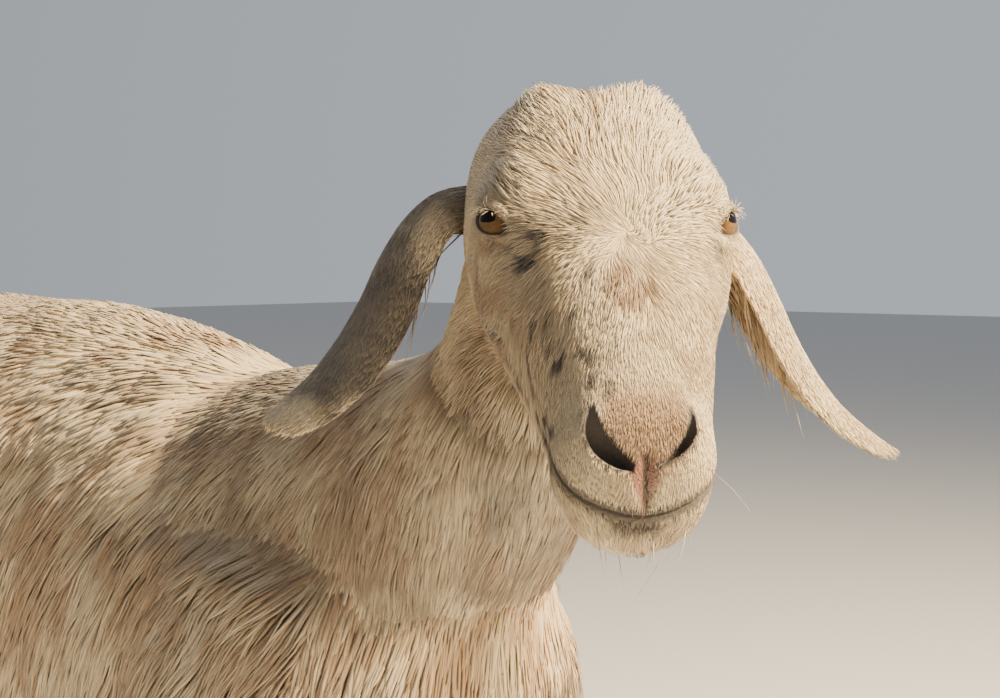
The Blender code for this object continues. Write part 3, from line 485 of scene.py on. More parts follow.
def tail():
    """The short tail, flat underneath."""
    rows = [(0, *row) for row in smooth_rows(TAIL, 3)]
    return loft("tail_flesh", tube_rings(rows, count=16, power=2))


def matrix_of(x_axis, y_axis, z_axis, origin):
    """The matrix from a frame with these axes and this origin."""
    made = Matrix((x_axis, y_axis, z_axis)).transposed().to_4x4()
    made.translation = origin
    return made


def head_matrix():
    """From the head's own frame, in metres (forward along the face, left, up from it), to the world."""
    forward = Vector(HEAD_FORWARD)
    nose = forward * cos(HEAD_PITCH) - UP * sin(HEAD_PITCH)
    crown = forward * sin(HEAD_PITCH) + UP * cos(HEAD_PITCH)
    return matrix_of(nose, Vector(HEAD_LEFT), crown, HEAD_POINT)


def eye_matrix(side):
    """From an eye's own frame (its axis along +Z, +X towards the nose) to the world."""
    axis = Vector((EYE_AXIS[0], EYE_AXIS[1] * side, EYE_AXIS[2])).normalized()
    nose = Vector((cos(LIDS_TILT), 0, sin(LIDS_TILT)))
    nose = (nose - axis * nose.dot(axis)).normalized()
    place = Vector((EYE[0], EYE[1] * side, EYE[2])) * CM
    return head_matrix() @ matrix_of(nose, axis.cross(nose), axis, place)


def ear_loft(side, rows):
    """One ear: a long leaf, curled lengthwise, that hangs out and down. Its mouth faces forward and in."""
    forward, outward = Vector(HEAD_FORWARD), Vector(HEAD_LEFT) * side
    spine = [HEAD_POINT + (outward * out + forward * ahead + UP * up) * CM for out, ahead, up, *_ in rows]
    tangents = np.gradient(np.array(spine), axis=0)
    rings = []
    for row, point, tangent in zip(rows, spine, tangents):
        along = Vector(tangent).normalized()
        ahead = (forward - along * forward.dot(along)).normalized()
        inner = along.cross(ahead) * side
        width, curl, turn = row[3] * CM, radians(row[4]), radians(row[5])
        mouth = ahead * cos(turn) + inner * sin(turn)
        across = along.cross(mouth)
        radius = width / curl
        middle = point + mouth * radius
        back_ring, front_ring = [], []
        for k in range(EAR_STEPS + 1):
            angle = curl * (k / EAR_STEPS - 0.5)
            spoke = across * sin(angle) - mouth * cos(angle)
            thin = EAR_THICKNESS * (1 - EAR_RIM_THINNING * abs(2 * k / EAR_STEPS - 1) ** 2)
            back_ring.append(middle + spoke * radius)
            front_ring.append(middle + spoke * (radius - thin))
        rings.append(back_ring + front_ring[::-1])
    return loft("ear_" + SIDE_NAMES[side], rings)


def joined(name, pieces):
    """The pieces' meshes as one mesh object; the pieces are removed."""
    mesh = bmesh.new()
    for piece in pieces:
        mesh.from_mesh(piece.data)
        bpy.data.objects.remove(piece)
    return mesh_object(name, mesh)


def applied(obj):
    """The object with its modifiers' result as its own mesh."""
    graph = bpy.context.evaluated_depsgraph_get()
    data = bpy.data.meshes.new_from_object(obj.evaluated_get(graph))
    obj.modifiers.clear()
    obj.data = data
    return obj


def smoothed(obj, rounds, group=""):
    """The object smoothed, where a vertex group says if one is named, with any modifiers before that."""
    smooth = obj.modifiers.new("soften", "SMOOTH")
    smooth.factor = 0.5
    smooth.iterations = rounds
    smooth.vertex_group = group
    return applied(obj)


def fused(obj, voxel, rounds):
    """The object's overlapping pieces as one smooth skin."""
    remesh = obj.modifiers.new("fuse", "REMESH")
    remesh.mode = "VOXEL"
    remesh.voxel_size = voxel
    return smoothed(obj, rounds)


def softened(obj):
    """The object smoothed further where neck and trunk meet, so that the folds between them fill out."""
    group = obj.vertex_groups.new(name="soft")
    for vert in obj.data.vertices:
        weight = max(1 - (vert.co - place).length / reach for place, reach in SOFT_SPOTS)
        if weight > 0:
            group.add((vert.index,), min(1, 2 * weight), "REPLACE")
    smoothed(obj, SOFT_ROUNDS, group.name)
    obj.vertex_groups.clear()
    return obj


def head_features():
    """Every swelling of the head, those off the midline on both sides."""
    rows = list(MIDLINE_FEATURES.values())
    for x, y, z, reach, height in FEATURES.values():
        rows += [(x, y, z, reach, height), (x, -y, z, reach, height)]
    return rows


def swell(obj, features):
    """Moves the surface out or in along its normals, round places in the head's own frame."""
    points = positions(obj.data)
    local = to_head(points)
    move = np.zeros(len(points))
    for *place, reach, height in features:
        move += height * spot(local, place, reach)
    put(obj, points + vertex_normals(obj.data) * move[:, None] * CM)


def half_space(name, point, direction, reach=1.2):
    """A big box cutter whose one face passes through a point; it fills the side that direction points to."""
    mesh = bmesh.new()
    bmesh.ops.create_cube(mesh, size=2 * reach)
    turn = direction.to_track_quat("Z", "Y").to_matrix().to_4x4()
    return mesh_object(name, mesh, Matrix.Translation(point + direction.normalized() * reach) @ turn)


def combined(obj, other, operation, solver):
    """A Boolean of two objects, applied to the first; the other is removed."""
    boolean = obj.modifiers.new("combine", "BOOLEAN")
    boolean.operation = operation
    boolean.solver = solver
    boolean.object = other
    applied(obj)
    bpy.data.objects.remove(other)
    return obj


def cut(obj, cutter, operation="DIFFERENCE"):
    """The object cut by another, and only the largest closed surface of what is left."""
    return keep_faces(combined(obj, cutter, operation, "MANIFOLD"), largest_shell)


def union(name, pieces):
    """One closed body from overlapping closed pieces."""
    made = pieces[0]
    made.name = name
    for piece in pieces[1:]:
        combined(made, piece, "UNION", "EXACT")
    return keep_faces(made, largest_shell)


def keep_faces(obj, pick):
    """The object with only the faces that pick returns when it is given them all."""
    mesh = bmesh.new()
    mesh.from_mesh(obj.data)
    keep = set(pick(mesh.faces))
    bmesh.ops.delete(mesh, geom=[face for face in mesh.faces if face not in keep], context="FACES")
    mesh.to_mesh(obj.data)
    mesh.free()
    return obj


def largest_shell(faces):
    """The faces of the largest closed surface."""
    unseen, shells = set(faces), []
    while unseen:
        shell, front = set(), [unseen.pop()]
        while front:
            face = front.pop()
            shell.add(face)
            for edge in face.edges:
                if len(edge.link_faces) != 2:
                    continue
                for other in edge.link_faces:
                    if other in unseen:
                        unseen.remove(other)
                        front.append(other)
        shells.append(shell)
    return max(shells, key=lambda shell: sum(face.calc_area() for face in shell))


def clip(obj, keep):
    """Keeps only the faces of the object whose middle passes the test."""
    keep_faces(obj, lambda faces: [face for face in faces if keep(face.calc_center_median())])


def ball(name, radius, matrix, rings=8):
    """A sphere in place."""
    mesh = bmesh.new()
    bmesh.ops.create_uvsphere(mesh, u_segments=2 * rings, v_segments=rings, radius=radius)
    return mesh_object(name, mesh, matrix)


def almond(k, count, long=1.0, high=1.0):
    """One of count points round the slit between the lids."""
    c, s = cos(2 * pi * k / count), sin(2 * pi * k / count)
    return LIDS_LENGTH / 2 * long * c, LIDS_HEIGHT / 2 * high * s * abs(s) ** 0.35


def lid_opening(side, scale, count):
    """An almond-shaped cutter from inside an eyeball out through the lids."""
    flat = [Vector((*almond(k, count), 0)) * scale for k in range(count)]
    rings = [[point + UP * height for point in flat] for height in (SLIT_FROM, SLIT_TO)]
    return loft("lid_opening", rings, eye_matrix(side))


def mouth_slit():
    """A thin curved wedge that cuts the line of the mouth between the lips."""
    half = smooth_rows(MOUTH, 3)
    path = [Vector(p) for p in half] + [Vector((x, -y, z)) for x, y, z in reversed(half[:-1])]
    tangents = np.gradient(np.array(path), axis=0)
    rings = []
    for point, tangent in zip(path, tangents):
        outward = Vector((-tangent[1], tangent[0], 0)).normalized()
        if outward.dot(point - MOUTH_MIDDLE) < 0:
            outward = -outward
        rings.append([(point + outward * a + UP * b) * CM for a, b in MOUTH_WEDGE])
    return loft("mouth_slit", rings, head_matrix())


def nostril(side):
    """A comma-shaped cutter, thin at its upper, outer end."""
    rows = smooth_rows(NOSTRIL, 3)
    rows[:, 1] *= side
    rows[:, 3] *= NOSTRIL_FLARE[side]
    rows *= CM
    rows = np.column_stack((rows, rows[:, 3]))
    return loft("nostril", tube_rings(rows, UP, 10, 2), head_matrix())


def claw(foot, outward):
    """One claw of a hoof: a pointed, sloping box on a flat sole."""
    rings = []
    for height, scale, back in CLAW_LEVELS:
        ring = []
        for k in range(CLAW_STEPS):
            c, s = rounded(2 * pi * k / CLAW_STEPS, CLAW_SQUARENESS)
            narrow = 1 - CLAW_POINT * max(0, -c) ** 2
            x = foot.x + outward * (CLAW_WIDTH + CLEFT) / 2 + s * CLAW_WIDTH / 2 * scale * narrow
            y = foot.y - CLAW_AHEAD + c * CLAW_LENGTH / 2 * scale + back
            ring.append(Vector((x, y, height)))
        rings.append(ring)
    return loft("claw", rings)


def hoof(name, rows, side, step):
    """A cloven hoof, two claws joined at the heel and cut level on top, with rounded edges and dewclaws."""
    foot = Vector((side * rows[-1][0], rows[-1][1] + step, 0))
    back, up = HEEL_PLACE
    heel = Matrix.Translation((foot.x, foot.y + back, up)) @ Matrix.Diagonal((*HEEL_SIZE, 1))
    made = union(name, [claw(foot, -1), claw(foot, 1), ball("heel", 1, heel, 6)])
    cut(made, half_space("level", UP * HOOF_HEIGHT, UP))
    bevel = made.modifiers.new("soft", "BEVEL")
    bevel.width = HOOF_BEVEL
    bevel.segments = 4
    bevel.limit_method = "ANGLE"
    bevel.angle_limit = radians(50)
    pieces = [applied(made)]
    shape = Matrix.Rotation(DEWCLAW_LEAN, 4, "X") @ Matrix.Diagonal((*DEWCLAW_SIZE, 1))
    for outward in (-1, 1):
        place = foot + Vector((outward * DEWCLAW_OUT, DEWCLAW_BACK, DEWCLAW_UP))
        pieces.append(ball("dewclaw", 1, Matrix.Translation(place) @ shape))
    made = joined(name, pieces)
    made.data.shade_smooth()
    made.data.set_sharp_from_angle(angle=radians(40))
    return made


def udder():
    """The udder and its two teats as one soft skin."""
    rows = [(0, back, up, half, long) for up, half, long, back in UDDER]
    pieces = [loft("udder", tube_rings(rows, count=16, power=2.1))]
    for side in SIDES.values():
        rows = []
        for up, radius in TEAT:
            fall = TEAT[0][0] - up
            out, back = side * (TEAT_OUT + TEAT_SPLAY * fall), TEAT_BACK - TEAT_LEAN * fall
            rows.append((out, back, up, radius, radius))
        pieces.append(loft("teat", tube_rings(rows, count=8, power=2)))
    made = fused(union("udder_soft", pieces), UDDER_VOXEL, UDDER_ROUNDS)
    made.data.shade_smooth()
    return made


def skin():
    """One skin from the nose to the tail and the hooves."""
    flesh = [trunk(), neck(), head(), tail()]
    for side in SIDES.values():
        flesh += [leg(FORELEG, side, FORE_STEP[side]), leg(HINDLEG, side, HIND_STEP[side])]
    body = softened(fused(joined("body_flesh", flesh), SKIN_VOXEL, SKIN_ROUNDS))
    lowest = HOOF_HEIGHT - COARSE_OVERLAP
    clip(body, lambda middle: (middle - THROAT).dot(JAW) < COARSE_OVERLAP and middle.z > lowest)
    face = fused(joined("face_flesh", [head(), neck()]), FACE_VOXEL, FACE_ROUNDS)
    fine_features = [(x, PHILTRUM_OUT, z, PHILTRUM_REACH, PHILTRUM_HEIGHT) for x, z in PHILTRUM]
    ahead, out, *rest = SOCKET_SWELLING
    fine_features += [(ahead, side * out, *rest) for side in SIDES.values()]
    swell(face, head_features() + fine_features)
    swell(body, head_features())
    for piece in (body, face):
        points = positions(piece.data)
        put(piece, points - vertex_normals(piece.data) * coat_depth(points)[:, None])
    cut(face, half_space("throat", THROAT - JAW * FINE_OVERLAP, JAW), "INTERSECT")
    for side in SIDES.values():
        cut(face, ball("socket", EYE_RADIUS + SOCKET_ROOM, eye_matrix(side), 24))
        cut(face, lid_opening(side, LID_ROOM, 40))
        cut(face, nostril(side))
    cut(face, mouth_slit())
    clip(face, lambda middle: (middle - THROAT).dot(JAW) > CAP - FINE_OVERLAP)
    return joined("skin", [body, face])


def in_frame(points, matrix):
    """World points in the frame that the matrix leads from."""
    inverse = np.array(matrix.inverted())
    return points @ inverse[:3, :3].T + inverse[:3, 3]


def to_head(points):
    """World points in the head's own frame, in centimetres."""
    return in_frame(points, head_matrix()) * 100


def rows_of(items, attribute, width, kind=float):
    """One attribute of a mesh's items as rows."""
    values = np.empty(len(items) * width, kind)
    items.foreach_get(attribute, values)
    return values.reshape(-1, width)


def positions(mesh):
    """The vertices of a mesh as rows."""
    return rows_of(mesh.vertices, "co", 3)


def vertex_normals(mesh):
    """The vertex normals of a mesh as rows."""
    return rows_of(mesh.vertex_normals, "vector", 3)


def unwrap_of(mesh):
    """The unwrap of a mesh's face corners as rows."""
    return rows_of(mesh.uv_layers["OFBake"].data, "uv", 2)


def put(obj, points):
    """Moves the object's vertices to the points."""
    obj.data.vertices.foreach_set("co", points.ravel())
    obj.data.update()


def ramp(value, low, high):
    """0 below low, 1 above high, smooth between."""
    share = np.clip((value - low) / (high - low), 0, 1)
    return share * share * (3 - 2 * share)


def window(value, rise, fall):
    """1 between two smooth edges, each given by where it starts and ends, and 0 outside them."""
    return ramp(value, *rise) * (1 - ramp(value, *fall))


def noise(points, size, seed):
    """Smooth noise between 0 and 1, with features of about that size."""
    at = points / size + seed * 17.31
    base = np.floor(at).astype(np.int64)
    part = at - base
    part = part * part * (3 - 2 * part)
    total = np.zeros(len(points))
    for corner in np.ndindex(2, 2, 2):
        x, y, z = (base + corner).T
        mixed = (x * 73856093) ^ (y * 19349663) ^ (z * 83492791) ^ (seed * 2654435761)
        mixed = (mixed ^ (mixed >> 13)) * 1274126177 & 0x7FFFFFFF
        value = (mixed ^ (mixed >> 16)) % 65536 / 65535
        total += value * np.where(corner, part, 1 - part).prod(1)
    return total


def stray(points, amount, size, seed):
    """Vectors that wander by about that amount in each direction."""
    return np.column_stack([amount * (noise(points, size, seed + axis) - 0.5) for axis in range(3)])


def spot(local, place, reach):
    """How near each point is to a place, from 1 there to 0 well outside the reach."""
    return np.exp(-((np.linalg.norm(local - place, axis=1) / reach) ** 2))


def unit(vectors):
    """The vectors at length one."""
    return vectors / np.maximum(np.linalg.norm(vectors, axis=1), 1e-9)[:, None]


def laid(vectors, normals):
    """The vectors turned flat on the surface, at length one."""
    return unit(vectors - normals * np.sum(vectors * normals, axis=1)[:, None])


def past_throat(points):
    """How far each point is on the head's side of the throat."""
    return (points - np.array(THROAT)) @ np.array(JAW)


def past_withers(points):
    """How far each point is on the neck's side of the withers."""
    return (points - np.array(WITHERS)) @ np.array(NECK_RISE)


def head_share(points):
    """1 on the head, 0 behind the throat, smooth between."""
    return ramp(past_throat(points), -0.020, 0.030)


def body_tan(points, on_head):
    """The share of tan in the clouds of the body's coat, paler low down and on the head."""
    stretched = points * ALONG_HAIR
    cloud = 0.34 * noise(stretched, 0.050, 1) + 0.40 * noise(stretched, 0.017, 2)
    cloud += 0.26 * noise(points, 0.009, 3)
    tan = ramp(cloud, 0.42, 0.62) * (0.60 + 0.40 * noise(points, 0.09, 4))
    tan *= 1 - 0.75 * on_head
    low = ramp(0.46 - points[:, 2], 0.0, 0.20) * (1 - on_head)
    return tan * (1 - 0.6 * low) * (0.80 + 0.20 * on_head)


def body_umber(points):
    """The share of umber in the body's coat: grey-brown clouds, partly painted shade, and most on the right
    of the neck, where the head's painted shadow falls on grey-brown roan.
    """
    stretched = points * ALONG_HAIR
    x, y, z = points.T
    # The right of the neck: grey-brown roan, darkened further as painted shadow of the head.
    neck_roan_and_shadow = ramp(0.06 - y, 0.0, 0.16) * ramp(z, 0.56, 0.68) * ramp(0.06 - x, 0.0, 0.08)
    # Grey-brown clouds over the body: its own streaks, and painted shade that cools the coat.
    shade = 0.22 * noise(stretched, 0.016, 21) * noise(stretched, 0.045, 22)
    return shade + neck_roan_and_shadow * (0.24 + 0.60 * noise(stretched, 0.014, 17) * noise(stretched, 0.040, 18))


def markings(points):
    """Red, green and blue as shares of tan, of umber and of bare pink skin at each point; the umber also
    holds painted shade.
    """
    local = to_head(points)
    ahead, out, up = local.T
    right = ramp(-out, -0.8, 2.6)
    cheek = window(ahead, (-1.0, 3.0), (11.0, 13.5))
    speckle = ramp(noise(points * (1, 1, 0.7), 0.0040, 5), 0.60, 0.78)
    speckle *= ramp(noise(points, 0.013, 15), 0.30, 0.55)
    # Painted shade over the right cheek, which faces away from the key light.
    right_cheek_shade = right * cheek * (0.23 + 0.42 * noise(points, 0.016, 6) * noise(points, 0.005, 16))
    patch = ramp(spot(local * (1, 1.1, 1), (5.8, 0.15, 3.9), 1.5), 0.30, 0.62)
    patch *= ramp(noise(points, 0.0055, 7), 0.12, 0.42)
    nose_top = ramp(ahead, 9.8, 11.6) * ramp(2.3 - np.abs(out - 0.2), 0.0, 0.8)
    nose_top *= ramp(up - 0.35 * np.abs(out), 0.1, 0.7)
    flecks = 0.55 * ramp(noise(points, 0.013, 8), 0.60, 0.85) * (0.4 + 0.6 * noise(points, 0.05, 9))
    wavy = out + 0.3 + 0.9 * (noise(points, 0.02, 23) - 0.5)
    parting = ramp(0.30 - np.abs(wavy), 0.0, 0.25) * ramp(-ahead, 0.5, 2.5) * ramp(up, 3.0, 4.0)
    jaw_edge = ramp(-out, 3.2, 5.4) * window(ahead, (-1.0, 2.0), (9.0, 12.0))
    jaw_edge *= ramp(noise(points, 0.014, 19), 0.25, 0.60)
    slit = ramp(0.16 - np.abs(out - 0.1), 0.0, 0.10) * ramp(ahead, 12.9, 13.4)
    slit *= ramp(up, -0.9, -0.5) * ramp(1.7 - up, 0.0, 0.4)
    groove = np.abs(out) + 0.5 * np.abs(up - 0.5)
    low_lip = spot(local * (0.7, 0.50, 1), (10.5, -0.1, -1.2), 0.66)

    on_head = head_share(points)
    tan = body_tan(points, on_head)
    for share in (0.95 * patch, nose_top, flecks, 0.6 * parting, 0.75 * jaw_edge):
        tan = np.maximum(tan, on_head * share)
    umber = speckle * (0.08 + 0.62 * right * cheek) + right_cheek_shade + 0.30 * parting
    umber += 0.32 * nose_top * noise(points, 0.007, 20) + 0.24 * patch
    umber = on_head * umber + (1 - on_head) * body_umber(points)
    lips = 0.95 * ramp(0.55 - mouth_distance(local), 0.0, 0.25)
    darkest = [lips, 0.9 * slit, 0.85 * ramp(low_lip, 0.25, 0.65)]
    for side in SIDES.values():
        darkest.append(0.80 * spot(local, (2.5, side * 4.95, 2.9), 0.62))
        # Painted shade round each eye, deepest on the right, over greyish-brown hair.
        darkest.append(EYE_GREY_AND_SHADE[side] * spot(local, (0.3, side * 5.2, 2.6), 2.1))
        # Darker in and round each nostril: painted shade in its hollow.
        darkest.append(1.15 * ramp(0.16 - nostril_distance(local, side), 0.0, 0.14))
    for share in darkest:
        umber = np.maximum(umber, on_head * share)
    pink = on_head * ramp(ahead, 13.0, 13.6) * ramp(0.85 - groove, 0.0, 0.5) * (1 - 0.85 * slit)
    return np.column_stack((tan, np.clip(umber, 0, 1), np.clip(pink, 0, 1)))


def path_distance(local, path, wide=0.0):
    """How far each point of the muzzle is outside a path of that width, in centimetres."""
    out = np.full(len(local), 99.0)
    near = local[:, 0] > 8
    out[near] = (np.sqrt(((local[near, None] - path[None]) ** 2).sum(2)) - wide).min(1)
    return out


def mouth_distance(local):
    """How far each point of the head's frame is from the line of the mouth, in centimetres."""
    half = smooth_rows(MOUTH, 3)
    return path_distance(local, np.vstack((half, half * (1, -1, 1))))


def nostril_distance(local, side):
    """How far each point of the head's frame is outside a nostril's cut, in centimetres."""
    rows = smooth_rows(NOSTRIL, 3)
    return path_distance(local, rows[:, :3] * (1, side, 1), rows[:, 3] * NOSTRIL_FLARE[side])


def hair_lie(points, normals):
    """Which way the hair lies at each point."""
    away = to_head(points) - WHORL + stray(points, 4.6, 0.022, 60) + stray(points, 2.6, 0.009, 63)
    face = unit(away) @ np.array(head_matrix())[:3, :3].T
    for side in SIDES.values():
        from_eye = points - np.array(eye_matrix(side).translation)
        near = 1.4 * np.exp(-(((np.linalg.norm(from_eye, axis=1) - 0.014) / 0.009) ** 2))
        face += unit(from_eye) * near[:, None]
    x, y, z = points.T
    fore = ramp(-y, 0.14, 0.20)
    rear = ramp(y, 0.55, 0.62) * ramp(0.72 - z, 0.0, 0.05)
    low = ramp(0.44 - z, 0.0, 0.06) * ramp(np.abs(x), 0.02, 0.05)
    back, down = np.ones(len(points)), 0.20 + 1.90 * ramp(np.abs(x), 0.02, 0.14)
    for share, left_back in ((np.maximum(fore, rear), 0.40), (low, 0.15)):
        back = back * (1 - share) + left_back * share
        down = down * (1 - share) + share
    body = np.column_stack((np.zeros(len(points)), back, -down))
    body = body + stray(points, 0.55, 0.065, 20) + stray(points, 0.35, 0.020, 30)
    on_head = head_share(points)[:, None]
    return laid(unit(body) * (1 - on_head) + unit(face) * on_head, normals)


def coat_depth(points):
    """How deep the skin lies below the flesh's outer form."""
    on_head = head_share(points)
    trunk_deep, head_deep, legs_deep = SKIN_DEPTHS
    deep = trunk_deep * (1 - on_head) + head_deep * on_head
    legs = ramp(0.42 - points[:, 2], 0.0, 0.06) * ramp(np.abs(points[:, 0]), 0.03, 0.05)
    deep = deep * (1 - legs) + legs_deep * legs
    return deep * (1 - on_head * ramp(to_head(points)[:, 0], 10.5, 12.5))


def unwrapped(obj):
    """Unwraps the object's own shape in the map named OFBake."""
    obj.data.uv_layers.new(name="OFBake")
    bpy.context.view_layer.objects.active = obj
    obj.select_set(True)
    bpy.ops.object.mode_set(mode="EDIT")
    bpy.ops.mesh.select_all(action="SELECT")
    bpy.ops.uv.smart_project(angle_limit=radians(66), island_margin=0.004)
    bpy.ops.object.mode_set(mode="OBJECT")
    obj.select_set(False)


def marked(mesh, colours, tones=0.6, along=0.0, strand=0.0):
    """Stores each point's markings and tone, and how far along and across its tuft it is."""
    count = len(colours)
    rows = (
        ("marks", "FLOAT_COLOR", "color", np.column_stack((colours, np.full(count, tones)))),
        ("along", "FLOAT", "value", np.full(count, along)),
        ("strand", "FLOAT", "value", np.full(count, strand)),
    )
    for name, kind, field, values in rows:
        mesh.attributes.new(name, kind, "POINT").data.foreach_set(field, values.ravel())


class Ground:
    """The triangles of a mesh as arrays: what tufts grow from."""

    def __init__(self, obj, *flags):
        mesh = obj.data
        mesh.calc_loop_triangles()
        verts = rows_of(mesh.loop_triangles, "vertices", 3, np.int64)
        loops = rows_of(mesh.loop_triangles, "loops", 3, np.int64)
        self.corners = positions(mesh)[verts]
        self.normals = vertex_normals(mesh)[verts]
        self.uv = unwrap_of(mesh)[loops]
        self.middles = self.corners.mean(1)
        self.flags = [flag[verts].mean(1) for flag in flags]
        sides = self.corners[:, 1:] - self.corners[:, :1]
        self.areas = np.linalg.norm(np.cross(sides[:, 0], sides[:, 1]), axis=1) / 2

    def scatter(self, count, density, rng):
        """Places, normals and unwrap of that many roots, spread by the density at the triangles' middles."""
        weight = self.areas * density
        steps = np.cumsum(weight) / weight.sum()
        draws = (np.arange(count) + rng.random(count)) / count
        picks = np.clip(np.searchsorted(steps, draws), 0, len(steps) - 1)
        u, v = rng.random((2, count))
        over = u + v > 1
        u[over], v[over] = 1 - u[over], 1 - v[over]
        shares = np.column_stack((1 - u - v, u, v))[:, :, None]
        fields = (self.corners, self.normals, self.uv)
        places, normals, uv = ((field[picks] * shares).sum(1) for field in fields)
        return places, unit(normals), uv


def varied(rng, count, *sizes):
    """For each size, least share and greatest share, that many numbers by chance."""
    return [size * rng.uniform(low, high, count) for size, low, high in sizes]


def grow(name, roots, lies, sizes, rings, draw, rng, marks=None, hug=0.30):
    """Coat pieces of tapered tufts: three-sided, bent along the body, their tips drawn into locks.

    The roots are places, normals and unwrap, and the sizes are lengths, widths and lifts off the surface.
    """
    places, normals, uv = roots
    lengths, halves, lifts = (np.asarray(size)[:, None] for size in sizes)
    halves = halves / 2
    count = len(places)
    outward = normals * np.sin(lifts) + lies * np.cos(lifts)
    side = unit(np.cross(lies, normals))
    wave = side * ((rng.random(count) - 0.5) * WAVE)[:, None]
    fall = np.array((0, 0, -SAG)) - normals * (lengths / (2 * hug) + np.sin(lifts) * LEVELLING)
    tips = places + (outward + wave + fall) * lengths
    if draw:
        tips += drawn(places, tips, lengths[:, 0], draw, rng)
    middle_pull = tips - places - outward * lengths
    turn = rng.uniform(-TWIST, TWIST, count)[:, None]
    broad = side * np.cos(turn) + normals * np.sin(turn)
    colours = markings(places) if marks is None else marks
    roan = ROAN * (rng.random(count) - 0.5) * (1 - 0.8 * head_share(places))
    colours = np.column_stack((np.clip(colours[:, 0] + roan, 0, 1), colours[:, 1:]))
    tones = rng.random(count)
    most, shares, breadths = TUFTS[rings]
    verts = np.empty((count, 3 * rings + 1, 3))
    for r in range(rings):
        centre = places + outward * lengths * shares[r] + middle_pull * shares[r] * abs(shares[r])
        half = halves * breadths[r]
        verts[:, 3 * r] = centre + broad * half
        verts[:, 3 * r + 1] = centre - broad * half
        verts[:, 3 * r + 2] = centre + normals * half * TUFT_HEIGHT
    verts[:, -1] = tips
    made = []
    for number, start in enumerate(range(0, count, most)):
        parts = (rows[start : start + most] for rows in (verts, uv, colours, tones))
        made.append(tuft_mesh(f"{name}_{number + 1}", shares, *parts))
    return made


def drawn(places, tips, lengths, draw, rng):
    """How far each tip moves towards the middle tip of its lock."""
    count = len(places)
    locks = max(1, count // TUFTS_IN_A_LOCK)
    heads = rng.choice(count, locks, replace=False)
    tree = KDTree(locks)
    for i, head_index in enumerate(heads):
        tree.insert(places[head_index], i)
    tree.balance()
    chief = heads[np.array([tree.find(place)[1] for place in places])]
    apart = np.linalg.norm(places[chief] - places, axis=1)
    pull = draw * ramp(lengths * LOCK_REACH - apart, 0.0, LOCK_EDGE)
    return (tips[chief] - tips) * pull[:, None]


def tuft_mesh(name, shares, verts, uv, colours, tones):
    """One mesh of many closed tufts, with its markings and its place in the unwrap."""
    size, each = verts.shape[:2]
    rings = len(shares) - 1
    faces = [(0, 2, 1)]
    for r in range(rings - 1):
        for k in range(3):
            a, b = 3 * r + k, 3 * r + (k + 1) % 3
            faces += [(a, b, b + 3), (a, b + 3, a + 3)]
    top = 3 * (rings - 1)
    faces += [(top + k, top + (k + 1) % 3, each - 1) for k in range(3)]
    index = (np.array(faces)[None] + np.arange(size)[:, None, None] * each).reshape(-1)
    mesh = bpy.data.meshes.new(name)
    mesh.vertices.add(size * each)
    mesh.vertices.foreach_set("co", verts.ravel())
    mesh.loops.add(len(index))
    mesh.loops.foreach_set("vertex_index", index)
    mesh.polygons.add(len(index) // 3)
    mesh.polygons.foreach_set("loop_start", np.arange(0, len(index), 3))
    mesh.update(calc_edges=True)
    along = np.clip(np.append(np.repeat(shares[:-1], 3), shares[-1]), 0, 1)
    across = np.append(np.tile((0.0, 1.0, 0.5), rings), 0.5)
    local = np.column_stack((across - 0.5, along - 0.5)) * PATCH
    spread = (uv[:, None] + local[None]).reshape(-1, 2)
    mesh.uv_layers.new(name="OFBake").data.foreach_set("uv", spread[index].ravel())
    strand = np.tile(across, size) * STRANDS + np.repeat(tones, each) * STRAND_JUMP
    marked(mesh, np.repeat(colours, each, 0), np.repeat(tones, each), np.tile(along, size), strand)
    mesh.shade_smooth()
    return placed(name, mesh)


def ear_spine(side):
    """The ear's back from its root as points, and the directions along it."""
    out, ahead, up = (row[:, None] for row in smooth_rows(EARS[side], 4)[:, :3].T)
    path = np.array(HEAD_POINT) + (out * HEAD_LEFT * side + ahead * HEAD_FORWARD + up * np.array(UP)) * CM
    return path, unit(np.gradient(path, axis=0))


def nearest_rows(points, path):
    """For each point, which row of the path is nearest."""
    return np.argmin(((points[:, None] - path[None]) ** 2).sum(2), axis=1)


def ear_tones(places, path, side):
    """The markings of the hair on an ear's back: tan towards its tip, the right one grey down its middle,
    partly as painted shade.
    """
    rows = nearest_rows(places, path)
    share = rows / (len(path) - 1)
    front = (places - path[rows]) @ HEAD_FORWARD - 0.008 * ramp(share, 0.25, 0.50)
    front += 0.004 * (noise(places, 0.03, 45) - 0.5)
    rim = ramp(front, 0.008, 0.014) * ramp(share, 0.15, 0.30)
    tan = 0.30 * ramp(noise(places, 0.025, 42), 0.4, 0.7) + 0.25 * ramp(share, 0.60, 0.95)
    middle = ramp(0.82 + 0.3 * (noise(places, 0.02, 44) - 0.5) - share, 0.0, 0.16) * (1 - 0.85 * rim)
    # Down the middle the grey is partly the ear's own and partly painted shade, most on the right ear.
    umber = EAR_GREY_AND_SHADE[side] * middle * (0.74 + 0.26 * noise(places, 0.008, 43))
    return np.column_stack((tan, umber, np.zeros(len(places))))


